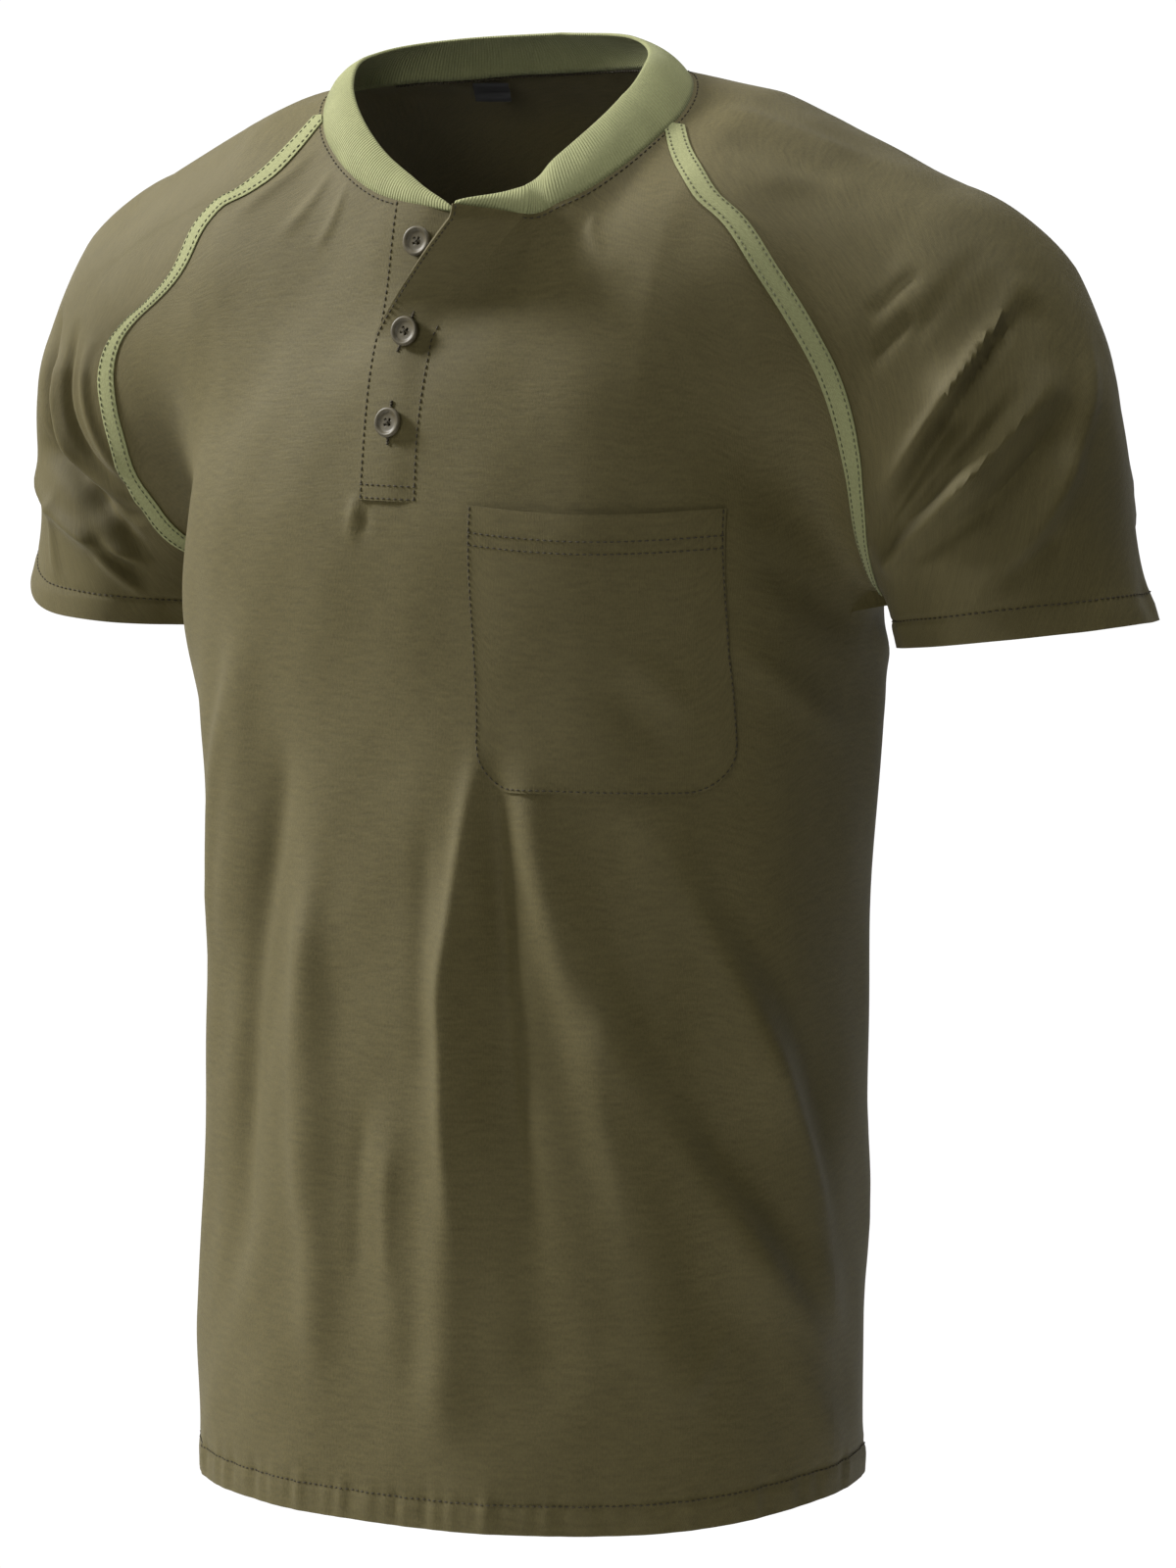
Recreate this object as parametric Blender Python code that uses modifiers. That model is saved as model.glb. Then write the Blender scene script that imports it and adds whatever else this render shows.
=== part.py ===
"""Raglan henley T-shirt, filled out as if worn, with no wearer.

Metres, +Z up. The front faces -Y and the wearer's left is +X. The origin is the middle of the neck
opening, level with the shoulder end of the neck seam.

Every panel lies on one smooth form, a general figure: a trunk of rounded sections and an arm of round
sections on each side. Seams are curves on that form, and the two pieces at a seam share its points.
"""

import math

import bmesh
import bpy
import numpy as np
from mathutils import Matrix, Vector
from mathutils.bvhtree import BVHTree

# ---------------------------------------------------------------- driving sizes

JERSEY_WALL = 0.0012
STRIP_WALL = 0.0010
RIB_WALL = 0.0020
SEAM_GAP = 0.0004
LAY_GAP = 0.0007
UNDERARM_EASE = 0.0007
UNDERARM_REACH = 0.030

# Height of the hem by angle from the front (+ is left).
HEM_COLUMNS = ("angle", "z")
HEM = (
    (-180, -0.6935),
    (-120, -0.6950),
    (-60, -0.6970),
    (-27, -0.6975),
    (0, -0.6970),
    (34, -0.6952),
    (60, -0.6930),
    (90, -0.6885),
    (135, -0.6900),
    (180, -0.6935),
)

# Trunk sections: height, half width, front and back (Y), and squareness of the rounded outline.
TRUNK_COLUMNS = ("z", "half_width", "front", "back", "squareness")
TRUNK = (
    (-0.760, 0.1745, -0.1195, 0.1520, 2.30),
    (-0.660, 0.1716, -0.1195, 0.1530, 2.30),
    (-0.550, 0.1690, -0.1095, 0.1470, 2.30),
    (-0.400, 0.1706, -0.0995, 0.1395, 2.30),
    (-0.300, 0.1766, -0.0985, 0.1420, 2.30),
    (-0.200, 0.1805, -0.1060, 0.1450, 2.30),
    (-0.130, 0.1635, -0.0944, 0.1407, 2.20),
    (-0.080, 0.1394, -0.0717, 0.1253, 2.10),
    (-0.030, 0.1024, -0.0381, 0.0987, 2.00),
    (0.000, 0.0601, -0.0128, 0.0721, 2.00),
    (0.015, 0.0232, 0.0030, 0.0501, 2.00),
)

# The arm's middle line on the wearer's left, with the radius of the cloth round it.
ARM_COLUMNS = ("x", "y", "z", "radius")
ARM = (
    (0.0249, 0.0194, -0.0747, 0.0971),
    (0.1118, 0.0345, -0.1095, 0.0930),
    (0.2139, 0.0474, -0.1244, 0.0620),
    (0.2437, 0.0431, -0.1669, 0.0499),
    (0.2690, 0.0567, -0.2879, 0.0660),
)
ARM_BLEND = 0.060
TRUNK_BLEND = 0.023

# Neck seam: a rounded outline seen from above, and its height by angle from the front (+ is left).
NECK_CENTRE = (0.0035, -0.0095)
NECK_HALF_WIDTH = 0.1005
NECK_HALF_DEPTH = 0.0665
NECK_PULL_REACH = 0.040
NECK_COLUMNS = ("angle", "seam_z", "edge_z")
NECK = (
    (-180, 0.0070, 0.0255),
    (-140, 0.0030, 0.0222),
    (-100, -0.0025, 0.0157),
    (-80, -0.0063, 0.0103),
    (-65, -0.0160, 0.0010),
    (-50, -0.0280, -0.0100),
    (-35, -0.0402, -0.0232),
    (-20, -0.0507, -0.0360),
    (0, -0.0566, -0.0470),
    (12, -0.0588, -0.0440),
    (25, -0.0535, -0.0350),
    (40, -0.0478, -0.0270),
    (55, -0.0385, -0.0183),
    (70, -0.0283, -0.0092),
    (85, -0.0175, 0.0009),
    (100, -0.0075, 0.0115),
    (120, 0.0040, 0.0190),
    (140, 0.0090, 0.0240),
    (180, 0.0070, 0.0255),
)
BAND_EDGE_CENTRE = (0.002, -0.0130)
BAND_EDGE_HALF_WIDTH = 0.0810
BAND_EDGE_HALF_DEPTH = 0.0550
BAND_BULGE = 0.0025
BAND_END_LENGTH = 0.036
BAND_END_HEIGHT = 0.10
BAND_END_CURVE = 0.9

# Raglan seams, from the neck down to the underarm, seen from the front and from the back.
RAGLAN_COLUMNS = ("x", "z")
RAGLAN_FRONT_LEFT = (
    (0.1145, -0.0266),
    (0.1299, -0.0372),
    (0.1415, -0.0470),
    (0.1567, -0.0575),
    (0.1764, -0.0806),
    (0.1947, -0.1065),
    (0.2075, -0.1318),
    (0.2133, -0.1560),
    (0.2142, -0.1779),
    (0.2110, -0.2010),
)
RAGLAN_FRONT_RIGHT = (
    (-0.0950, -0.0270),
    (-0.1060, -0.0420),
    (-0.1200, -0.0515),
    (-0.1350, -0.0570),
    (-0.1460, -0.0660),
    (-0.1610, -0.0900),
    (-0.1840, -0.1070),
    (-0.2060, -0.1180),
    (-0.2200, -0.1290),
    (-0.2265, -0.1430),
    (-0.2275, -0.1620),
    (-0.2260, -0.1810),
    (-0.2230, -0.2010),
)
RAGLAN_BACK = (
    (0.1220, -0.0290),
    (0.1480, -0.0620),
    (0.1720, -0.1000),
    (0.1920, -0.1400),
    (0.2040, -0.1800),
    (0.2080, -0.2120),
)
NECK_JOIN_FRONT_LEFT = 86
NECK_JOIN_FRONT_RIGHT = -67
NECK_JOIN_BACK = 118
UNDERARM_X = 0.196
UNDERARM_Y = 0.045
UNDERARM_FRONT_Y = -0.012
SIDE_SEAM_ANGLE = 92

# Cuffs: where the sleeve ends at the middle of the arm, its rise outward, and its outer side's lift.
CUFF_COLUMNS = ("side", "z", "rise", "outer_lift")
CUFFS = (
    (1, -0.2600, 0.13, 0.00),
    (-1, -0.2755, 0.06, 0.42),
)
CUFF_MIDDLE = (0.2660, 0.0530)

# How far the lines from the armhole to the cuff bow out over the shoulder before they settle.
SLEEVE_BOW = 0.052

# Placket: a slit down the centre front and the two strips that fill it.
PLACKET_HALF = 0.017
PLACKET_FOOT = -0.1975
PLACKET_STEP = 0.0016

# The undone top of the placket: it swings to the wearer's left and rolls forward.
FLAP_FOOT = -0.120
FLAP_HEAD = -0.060
FLAP_CURVE = 1.3
FLAP_SHIFT = 0.044
FLAP_REACH = 0.102
FLAP_HINGE = 0.035
FLAP_CURL = 0.012
FLAP_LIFT = 0.030
FLAP_ROLL = 1.5

# Pocket on the wearer's left chest: its four sides seen from the front.
POCKET_LEFT_X = 0.0455
POCKET_RIGHT_X = 0.1580
POCKET_TOP_Z = -0.1975
POCKET_FOOT_Z = -0.3360
POCKET_TOP_SAG = 0.0030
POCKET_CORNER_X = 0.018
POCKET_CORNER_Z = 0.024
POCKET_BAG = 0.0020

TAPE_WIDTH = 0.0110
TAPE_GAP = 0.0010
TAPE_FOOT_SHARE = 0.35
TAPE_FOOT_LIFT = 0.0016

BUTTON_HEIGHTS = (-0.0735, -0.1163, -0.1598)
BUTTON_RADIUS = 0.0070
BUTTON_THICKNESS = 0.0026
BUTTON_RIM = 0.0016
BUTTON_DISH = 0.0008
BUTTON_HOLE_RADIUS = 0.0008
BUTTON_HOLE_PLACE = 0.0016
BUTTON_STAND = 0.0008
BUTTON_SIDES = 20
BUTTON_HOLE_SIDES = 6

LABEL_X = -0.048
LABEL_WIDTH = 0.015
LABEL_HEIGHT = 0.009
LABEL_TOP_Z = 0.0020
LABEL_WALL = 0.0010

# Largest folds: a line on the trunk by angle from the front (degrees, + is left) and height.
# A negative rise is a trough.
FOLD_COLUMNS = ("angle_1", "z_1", "angle_2", "z_2", "width", "rise")
TRUNK_FOLDS = (
    (21, -0.345, 15, -0.430, 0.013, 0.0043),
    (15, -0.430, 16, -0.620, 0.015, 0.0051),
    (26, -0.350, 26, -0.480, 0.014, -0.0043),
    (26, -0.480, 36, -0.600, 0.017, -0.0043),
    (33, -0.350, 48, -0.450, 0.014, 0.0036),
    (58, -0.365, 74, -0.465, 0.016, 0.0058),
    (74, -0.465, 90, -0.580, 0.018, 0.0065),
    (54, -0.470, 72, -0.565, 0.015, 0.0058),
    (72, -0.565, 90, -0.650, 0.016, 0.0051),
    (48, -0.460, 58, -0.610, 0.015, 0.0051),
    (64, -0.400, 66, -0.520, 0.015, -0.0043),
    (-47, -0.300, -53, -0.400, 0.015, 0.0043),
    (-36, -0.350, -44, -0.560, 0.018, -0.0051),
    (-25, -0.430, -17, -0.600, 0.015, 0.0051),
    (0, -0.520, 4, -0.600, 0.014, 0.0029),
    (-60, -0.330, -66, -0.620, 0.018, 0.0043),
    (-78, -0.420, -82, -0.660, 0.018, 0.0051),
    (110, -0.300, 118, -0.560, 0.022, 0.0058),
    (132, -0.350, 128, -0.640, 0.022, -0.0058),
    (150, -0.300, 146, -0.600, 0.022, 0.0058),
    (172, -0.420, 176, -0.680, 0.024, 0.0058),
    (-112, -0.300, -120, -0.600, 0.022, 0.0058),
    (-134, -0.340, -130, -0.620, 0.022, -0.0058),
    (-154, -0.320, -150, -0.660, 0.024, 0.0058),
    (165, -0.180, 150, -0.260, 0.020, 0.0036),
    (-165, -0.180, -150, -0.260, 0.020, 0.0036),
)

# Sleeve folds: lines near the arm, from the underarm out, by place on the wearer's left or right.
SLEEVE_FOLD_COLUMNS = ("x_1", "y_1", "z_1", "x_2", "y_2", "z_2", "width", "rise")
SLEEVE_FOLDS = (
    (0.280, 0.016, -0.094, 0.265, -0.022, -0.139, 0.010, 0.0030),
    (0.265, -0.022, -0.139, 0.232, -0.025, -0.187, 0.010, 0.0030),
    (0.282, 0.016, -0.106, 0.267, -0.022, -0.156, 0.009, -0.0030),
    (0.267, -0.022, -0.156, 0.229, -0.019, -0.208, 0.009, -0.0035),
    (0.299, 0.009, -0.139, 0.272, -0.019, -0.181, 0.010, 0.0035),
    (0.272, -0.019, -0.181, 0.226, -0.010, -0.221, 0.009, 0.0035),
    (0.304, 0.013, -0.160, 0.283, -0.011, -0.196, 0.010, -0.0030),
    (0.306, 0.014, -0.180, 0.276, -0.008, -0.233, 0.011, 0.0030),
    (0.245, 0.098, -0.205, 0.290, 0.085, -0.150, 0.014, -0.0035),
    (0.240, 0.100, -0.228, 0.292, 0.093, -0.190, 0.013, 0.0035),
    (-0.276, -0.011, -0.127, -0.274, -0.017, -0.188, 0.010, -0.0035),
    (-0.274, -0.017, -0.188, -0.225, -0.010, -0.220, 0.010, -0.0035),
    (-0.260, -0.022, -0.150, -0.260, -0.022, -0.187, 0.009, 0.0025),
    (-0.284, -0.010, -0.188, -0.248, -0.016, -0.217, 0.010, -0.0035),
    (-0.248, -0.016, -0.217, -0.222, 0.000, -0.237, 0.010, -0.0030),
    (-0.297, 0.003, -0.207, -0.254, -0.012, -0.233, 0.009, 0.0030),
    (-0.245, 0.098, -0.205, -0.290, 0.085, -0.150, 0.014, -0.0035),
    (-0.240, 0.100, -0.228, -0.292, 0.093, -0.190, 0.013, 0.0035),
)

# Mesh counts: cells along each seam, shared by the pieces on both of its sides.
SIDE_CELLS = 20
RAGLAN_CELLS = 13
SLIT_FOOT_CELL = 2
HALF_FRONT_CELLS = 14
SLIT_CELLS = 4
BACK_CELLS = 20
NECK_TOP_CELLS = 3
SLEEVE_CELLS = 12
BAND_ROWS = 3
POCKET_CELLS = 12

COLOURS = {
    "jersey": ((0.105, 0.085, 0.042), 0.90),
    "rib": ((0.36, 0.38, 0.18), 0.90),
    "tape": ((0.30, 0.32, 0.15), 0.85),
    "button": ((0.085, 0.070, 0.035), 0.45),
    "label": ((0.010, 0.010, 0.010), 0.80),
}

# ---------------------------------------------------------------- curves and tables


def column(table, columns, name):
    """One named column of a table."""
    return np.array([row[columns.index(name)] for row in table], float)


def smooth_curve(places, values, at):
    """A smooth curve through the values, read at some places."""
    slopes = np.gradient(values, places)
    cell = np.clip(np.searchsorted(places, at) - 1, 0, len(places) - 2)
    span = places[cell + 1] - places[cell]
    t = np.clip((at - places[cell]) / span, 0, 1)
    start = (2 * t**3 - 3 * t**2 + 1) * values[cell] + (t**3 - 2 * t**2 + t) * span * slopes[cell]
    end = (3 * t**2 - 2 * t**3) * values[cell + 1] + (t**3 - t**2) * span * slopes[cell + 1]
    return start + end


def smooth_min(a, b, blend):
    """The smaller of two distances, with the corner between them rounded."""
    share = np.clip(0.5 + 0.5 * (b - a) / blend, 0, 1)
    return b + (a - b) * share - blend * share * (1 - share)


def along(points):
    """The distance run along a line of points, at each of them."""
    return np.concatenate([[0], np.cumsum(np.linalg.norm(np.diff(points, axis=0), axis=1))])


def even_points(points, count):
    """Count points spaced evenly on a smooth line through the given ones."""
    run = along(points)
    fine = np.linspace(0, run[-1], 400)
    line = np.stack([smooth_curve(run, points[:, k], fine) for k in range(3)], axis=1)
    run = along(line)
    at = np.linspace(0, run[-1], count)
    return np.stack([np.interp(at, run, line[:, k]) for k in range(3)], axis=1)


def walk(line, distance):
    """The point, or points, at a distance along a line of points."""
    run = along(line)
    return np.array([np.interp(distance, run, line[:, k]) for k in range(3)])


def unit(vectors):
    return vectors / np.maximum(np.linalg.norm(vectors, axis=-1, keepdims=True), 1e-12)


# ---------------------------------------------------------------- the form under the cloth

TRUNK_Z = column(TRUNK, TRUNK_COLUMNS, "z")
ARM_POINTS = np.array([row[:3] for row in ARM])
ARM_RADII = column(ARM, ARM_COLUMNS, "radius")
NECK_ANGLES = column(NECK, NECK_COLUMNS, "angle")


def trunk_value(name, z):
    at = np.clip(z, TRUNK_Z[0], TRUNK_Z[-1])
    return smooth_curve(TRUNK_Z, column(TRUNK, TRUNK_COLUMNS, name), at)


def hem_height(degrees):
    turn = (np.asarray(degrees, float) + 180) % 360 - 180
    return smooth_curve(column(HEM, HEM_COLUMNS, "angle"), column(HEM, HEM_COLUMNS, "z"), turn)


def trunk_middle(z):
    return 0.5 * (trunk_value("front", z) + trunk_value("back", z))


def trunk_distance(points):
    x, y, z = points[..., 0], points[..., 1], points[..., 2]
    half_depth = 0.5 * (trunk_value("back", z) - trunk_value("front", z))
    power = trunk_value("squareness", z)
    across = np.abs(x) + 1e-6
    deep = np.abs(y - trunk_middle(z)) + 1e-6
    wide = (across / trunk_value("half_width", z)) ** power
    ratio = (wide + (deep / half_depth) ** power) ** (1 / power)
    return np.hypot(across, deep) * (1 - 1 / ratio) + np.maximum(z - TRUNK_Z[-1], 0)


def arm_distance(points):
    mirrored = points * np.where(points[..., :1] < 0, (-1.0, 1.0, 1.0), (1.0, 1.0, 1.0))
    nearest = None
    for start, end, r_start, r_end in zip(ARM_POINTS, ARM_POINTS[1:], ARM_RADII, ARM_RADII[1:]):
        line = end - start
        share = np.clip((mirrored - start) @ line / (line @ line), 0, 1)
        gap = np.linalg.norm(mirrored - start - share[..., None] * line, axis=-1)
        gap = gap - (r_start + (r_end - r_start) * share)
        nearest = gap if nearest is None else smooth_min(nearest, gap, ARM_BLEND)
    return nearest


def figure_distance(points):
    return smooth_min(trunk_distance(points), arm_distance(points), TRUNK_BLEND)


def neck_seam(degrees):
    """Points of the neck seam by angle from the front."""
    angle = np.radians(degrees)
    x = NECK_CENTRE[0] + NECK_HALF_WIDTH * np.sin(angle)
    y = NECK_CENTRE[1] - NECK_HALF_DEPTH * np.cos(angle)
    z = smooth_curve(NECK_ANGLES, column(NECK, NECK_COLUMNS, "seam_z"), degrees)
    return np.stack([x, y, z], axis=-1)


def band_edge(degrees):
    """Points of the neck band's free edge by angle from the front."""
    angle = np.radians(degrees)
    x = BAND_EDGE_CENTRE[0] + BAND_EDGE_HALF_WIDTH * np.sin(angle)
    y = BAND_EDGE_CENTRE[1] - BAND_EDGE_HALF_DEPTH * np.cos(angle)
    z = smooth_curve(NECK_ANGLES, column(NECK, NECK_COLUMNS, "edge_z"), degrees)
    return np.stack([x, y, z], axis=-1)


def neck_angle(points):
    """The angle from the front, on the neck seam, that points stand beside."""
    across = (points[..., 0] - NECK_CENTRE[0]) / NECK_HALF_WIDTH
    deep = (NECK_CENTRE[1] - points[..., 1]) / NECK_HALF_DEPTH
    return np.degrees(np.arctan2(across, deep))


RING_ANGLES = np.linspace(-180, 180, 361)
RING_PULL = figure_distance(neck_seam(RING_ANGLES))


def cloth_distance(points):
    """Distance from the cloth's outer face: the figure, drawn to the neck seam near the neck."""
    angle = neck_angle(points)
    reach = np.linalg.norm(points - neck_seam(angle), axis=-1) / NECK_PULL_REACH
    pull = np.interp(angle, RING_ANGLES, RING_PULL) * np.exp(-reach**2)
    return figure_distance(points) - pull


def slope(points):
    """How the distance grows along X, Y and Z."""
    step = 0.0005
    grown = []
    for axis in np.eye(3):
        grown.append(cloth_distance(points + step * axis) - cloth_distance(points - step * axis))
    return np.stack(grown, axis=-1) / (2 * step)


def outward(points):
    return unit(slope(points))


def settle(points, rounds=6):
    """Points moved onto the cloth's outer face by the shortest way."""
    for _ in range(rounds):
        steep = slope(points)
        step = cloth_distance(points) / np.maximum((steep**2).sum(-1), 1e-6)
        points = points - np.clip(step, -0.02, 0.02)[..., None] * steep
    return points


def first_crossing(origins, directions, reach, outside):
    """Where lines first cross the outer face, from outside in or from inside out."""
    sign = 1.0 if outside else -1.0
    origins, directions = np.broadcast_arrays(origins, directions)
    steps = np.linspace(0, reach, 120)
    samples = origins[..., None, :] + steps[:, None] * directions[..., None, :]
    crossed = sign * cloth_distance(samples) < 0
    first = np.maximum(crossed.argmax(axis=-1), 1)
    low, high = steps[first - 1], steps[first]
    for _ in range(24):
        middle = 0.5 * (low + high)
        past = sign * cloth_distance(origins + middle[..., None] * directions) < 0
        high = np.where(past, middle, high)
        low = np.where(past, low, middle)
    return origins + high[..., None] * directions


def seen_point(x, z, facing):
    """The point of the outer face at x and z, seen from the front (-1) or the back (+1)."""
    x, z = np.broadcast_arrays(np.asarray(x, float), np.asarray(z, float))
    origins = np.stack([x, np.full(x.shape, 0.30 * facing), z], axis=-1)
    return first_crossing(origins, np.array([0.0, -facing, 0.0]), 0.60, True)


def trunk_point(degrees, z):
    """The point of the trunk at an angle from the front, at height z."""
    angle, z = np.broadcast_arrays(np.radians(np.asarray(degrees, float)), np.asarray(z, float))
    origins = np.stack([np.zeros(z.shape), trunk_middle(z), z], axis=-1)
    ways = np.stack([np.sin(angle), -np.cos(angle), np.zeros(z.shape)], axis=-1)
    return first_crossing(origins, ways, 0.30, False)


# ---------------------------------------------------------------- folds and the open flap


def line_hump(gap, before, after, width):
    """A soft hump across a line, fading past its ends."""
    past = np.maximum(np.maximum(before, after), 0)
    return np.exp(-((gap / width) ** 2) - (past / (2 * width)) ** 2)


def trunk_folds(points):
    middle = trunk_middle(points[..., 2])
    angle = np.degrees(np.arctan2(points[..., 0], -(points[..., 1] - middle)))
    girth = 0.155
    total = np.zeros(angle.shape)
    for angle_1, z_1, angle_2, z_2, width, rise in TRUNK_FOLDS:
        turn = (angle - angle_1 + 180) % 360 - 180
        place = np.stack([np.radians(turn) * girth, points[..., 2] - z_1], axis=-1)
        line = np.array([math.radians(angle_2 - angle_1) * girth, z_2 - z_1])
        length = np.linalg.norm(line)
        way = line / length
        run = place @ way
        gap = place @ np.array([-way[1], way[0]])
        total += rise * line_hump(gap, -run, run - length, width)
    on_trunk = 1 / (1 + np.exp((points[..., 2] + 0.150) / 0.015))
    beside = 1 / (1 + np.exp((np.abs(points[..., 0]) - 0.205) / 0.006))
    return total * np.where(points[..., 2] > -0.32, np.minimum(on_trunk, beside), 1.0)


def sleeve_folds(points):
    total = np.zeros(points.shape[:-1])
    for x_1, y_1, z_1, x_2, y_2, z_2, width, rise in SLEEVE_FOLDS:
        start = np.array([x_1, y_1, z_1])
        line = np.array([x_2, y_2, z_2]) - start
        length = np.linalg.norm(line)
        way = line / length
        run = (points - start) @ way
        gap = np.linalg.norm(points - start - np.clip(run, 0, length)[..., None] * way, axis=-1)
        total += rise * np.exp(-((gap / width) ** 2))
    return total


def folded(points):
    """Points of the smooth form with the cloth's folds raised or sunk."""
    return points + (trunk_folds(points) + sleeve_folds(points))[..., None] * outward(points)


def swung_open(points):
    """Points of the placket's left side, swung to the left and rolled forward above the buttons."""
    x, z = points[..., 0], points[..., 2]
    share = np.clip((z - FLAP_FOOT) / (FLAP_HEAD - FLAP_FOOT), 0, 1) ** FLAP_CURVE
    fade = np.clip((FLAP_REACH - x) / (FLAP_REACH - PLACKET_HALF), 0, 1)
    roll = np.clip((FLAP_HINGE - x) / (FLAP_HINGE + PLACKET_HALF), 0, 1)
    moved = points.copy()
    moved[..., 0] += share * (FLAP_SHIFT * fade + FLAP_CURL * roll**2)
    moved[..., 1] -= share * FLAP_LIFT * roll**FLAP_ROLL
    return moved


# ---------------------------------------------------------------- seams


def underarm(side):
    start = np.array([side * UNDERARM_X, UNDERARM_Y, -0.45])
    return first_crossing(start, np.array([0.0, 0.0, 1.0]), 0.30, True)


def near_underarm(points):
    """One at the underarm, falling to nothing away from it."""
    mirrored = points * np.where(points[..., :1] < 0, (-1.0, 1.0, 1.0), (1.0, 1.0, 1.0))
    reach = np.linalg.norm(mirrored - underarm(1), axis=-1) / UNDERARM_REACH
    return np.exp(-(reach**2))


def side_seam(side):
    """From the hem up to the underarm."""
    heights = np.linspace(hem_height(side * SIDE_SEAM_ANGLE), underarm(side)[2], SIDE_CELLS + 1)
    seam = trunk_point(side * SIDE_SEAM_ANGLE, heights[:-1])
    return np.vstack([seam, underarm(side)])


def raglan_front(side):
    """From the underarm up to the neck."""
    table = RAGLAN_FRONT_LEFT if side > 0 else RAGLAN_FRONT_RIGHT
    join = NECK_JOIN_FRONT_LEFT if side > 0 else NECK_JOIN_FRONT_RIGHT
    rows = np.array(table)
    seen = seen_point(rows[:, 0], rows[:, 1], -1)[::-1]
    turn = 0.5 * (underarm(side) + seen[0])
    turn[1] = UNDERARM_FRONT_Y
    guide = np.vstack([underarm(side), settle(turn), seen, neck_seam(join)])
    seam = even_points(guide, RAGLAN_CELLS + 1)
    seam[1:-1] = settle(seam[1:-1])
    return seam


def raglan_back(side):
    """From the underarm up to the neck."""
    rows = np.array(RAGLAN_BACK)
    seen = seen_point(side * rows[:, 0], rows[:, 1], 1)[::-1]
    guide = np.vstack([underarm(side), seen, neck_seam(side * NECK_JOIN_BACK)])
    seam = even_points(guide, RAGLAN_CELLS + 1)
    seam[1:-1] = settle(seam[1:-1])
    return seam


def cuff_ring(side, count):
    """Round the cuff from its inner side, by the front, the outer side and the back."""
    _, height, rise, outer_lift = next(row for row in CUFFS if row[0] == side)
    turn = np.radians(np.linspace(180, 540, 241))
    lift = rise * np.cos(turn) + outer_lift * np.maximum(np.cos(turn), 0) ** 3
    ways = np.stack([side * np.cos(turn), np.sin(turn), lift], axis=-1)
    middle = np.array([side * CUFF_MIDDLE[0], CUFF_MIDDLE[1], height])
    ring = first_crossing(middle, ways, 0.12, False)
    run = along(ring)
    at = np.linspace(0, run[-1], count)
    return np.stack([np.interp(at, run, ring[:, k]) for k in range(3)], axis=1)


# ---------------------------------------------------------------- grids of points for the panels


def patch(bottom, top, start, end):
    """Points spread between four sides: bottom and top rows, start and end columns."""
    rows, cols = len(start), len(bottom)
    v = np.linspace(0, 1, rows)[:, None, None]
    u = np.linspace(0, 1, cols)[None, :, None]
    ruled = (1 - v) * bottom[None] + v * top[None] + (1 - u) * start[:, None] + u * end[:, None]
    corners = (1 - v) * ((1 - u) * bottom[0] + u * bottom[-1]) + v * ((1 - u) * top[0] + u * top[-1])
    return ruled - corners


def relaxed(grid, rounds=10):
    """A grid evened out on the outer face, with its sides kept."""
    grid = grid.copy()
    grid[1:-1, 1:-1] = settle(grid[1:-1, 1:-1], 12)
    for _ in range(rounds):
        beside = 0.5 * (grid[1:-1, :-2] + grid[1:-1, 2:])
        between = 0.5 * (grid[:-2, 1:-1] + grid[2:, 1:-1])
        grid[1:-1, 1:-1] = settle(0.5 * (beside + between), 2)
    return grid


def evened(grid, rounds=3):
    """A tube's grid settled on the outer face, with its points evenly spaced along each column."""
    grid = grid.copy()
    grid[1:-1] = settle(grid[1:-1], 12)
    share = np.linspace(0, 1, len(grid))
    for _ in range(rounds):
        for col in range(grid.shape[1]):
            grid[:, col] = walk(grid[:, col], share * along(grid[:, col])[-1]).T
        grid[1:-1] = settle(grid[1:-1], 3)
    return grid


def slit_heights():
    """Row heights at the centre front, from the hem to the neck, with one at the slit's foot."""
    low = np.linspace(hem_height(0), underarm(1)[2], SIDE_CELLS + 1)
    foot = np.linspace(low[-1], PLACKET_FOOT, SLIT_FOOT_CELL + 1)[1:]
    top = neck_seam(slit_neck_angles()[[0, -1]])[:, 2].mean()
    high = np.linspace(PLACKET_FOOT, top, RAGLAN_CELLS - SLIT_FOOT_CELL + 1)[1:]
    return np.concatenate([low, foot, high])


def slit_neck_angles():
    """Angles on the neck seam at the slit's columns."""
    angles = np.linspace(-40, 40, 801)
    across = np.linspace(-PLACKET_HALF, PLACKET_HALF, SLIT_CELLS + 1)
    return np.interp(across, neck_seam(angles)[:, 0], angles)


def slit_column(x, angle):
    """A straight column at x, from the hem to the neck seam."""
    heights = slit_heights()
    line = seen_point(x, heights[:-1], -1)
    return np.vstack([line, neck_seam(angle)])


def front_grid():
    """Rows from hem to neck, columns from the wearer's right to the left, slit columns included."""
    angles = slit_neck_angles()
    across = np.linspace(-PLACKET_HALF, PLACKET_HALF, SLIT_CELLS + 1)
    slit = np.stack([slit_column(x, angle) for x, angle in zip(across, angles)], axis=1)
    halves = []
    for side, edge, edge_angle, join in (
        (-1, slit[:, 0], angles[0], NECK_JOIN_FRONT_RIGHT),
        (1, slit[:, -1], angles[-1], NECK_JOIN_FRONT_LEFT),
    ):
        seam = np.vstack([side_seam(side), raglan_front(side)[1:]])
        hem_start = math.degrees(math.atan2(edge[0, 0], -(edge[0, 1] - trunk_middle(edge[0, 2]))))
        hem_angles = np.linspace(hem_start, side * SIDE_SEAM_ANGLE, HALF_FRONT_CELLS + 1)
        hem = trunk_point(hem_angles, hem_height(hem_angles))
        neck = neck_seam(np.linspace(edge_angle, join, HALF_FRONT_CELLS + 1))
        halves.append(relaxed(patch(hem, neck, edge, seam)))
    return np.concatenate([halves[0][:, :0:-1], slit, halves[1][:, 1:]], axis=1)


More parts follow.
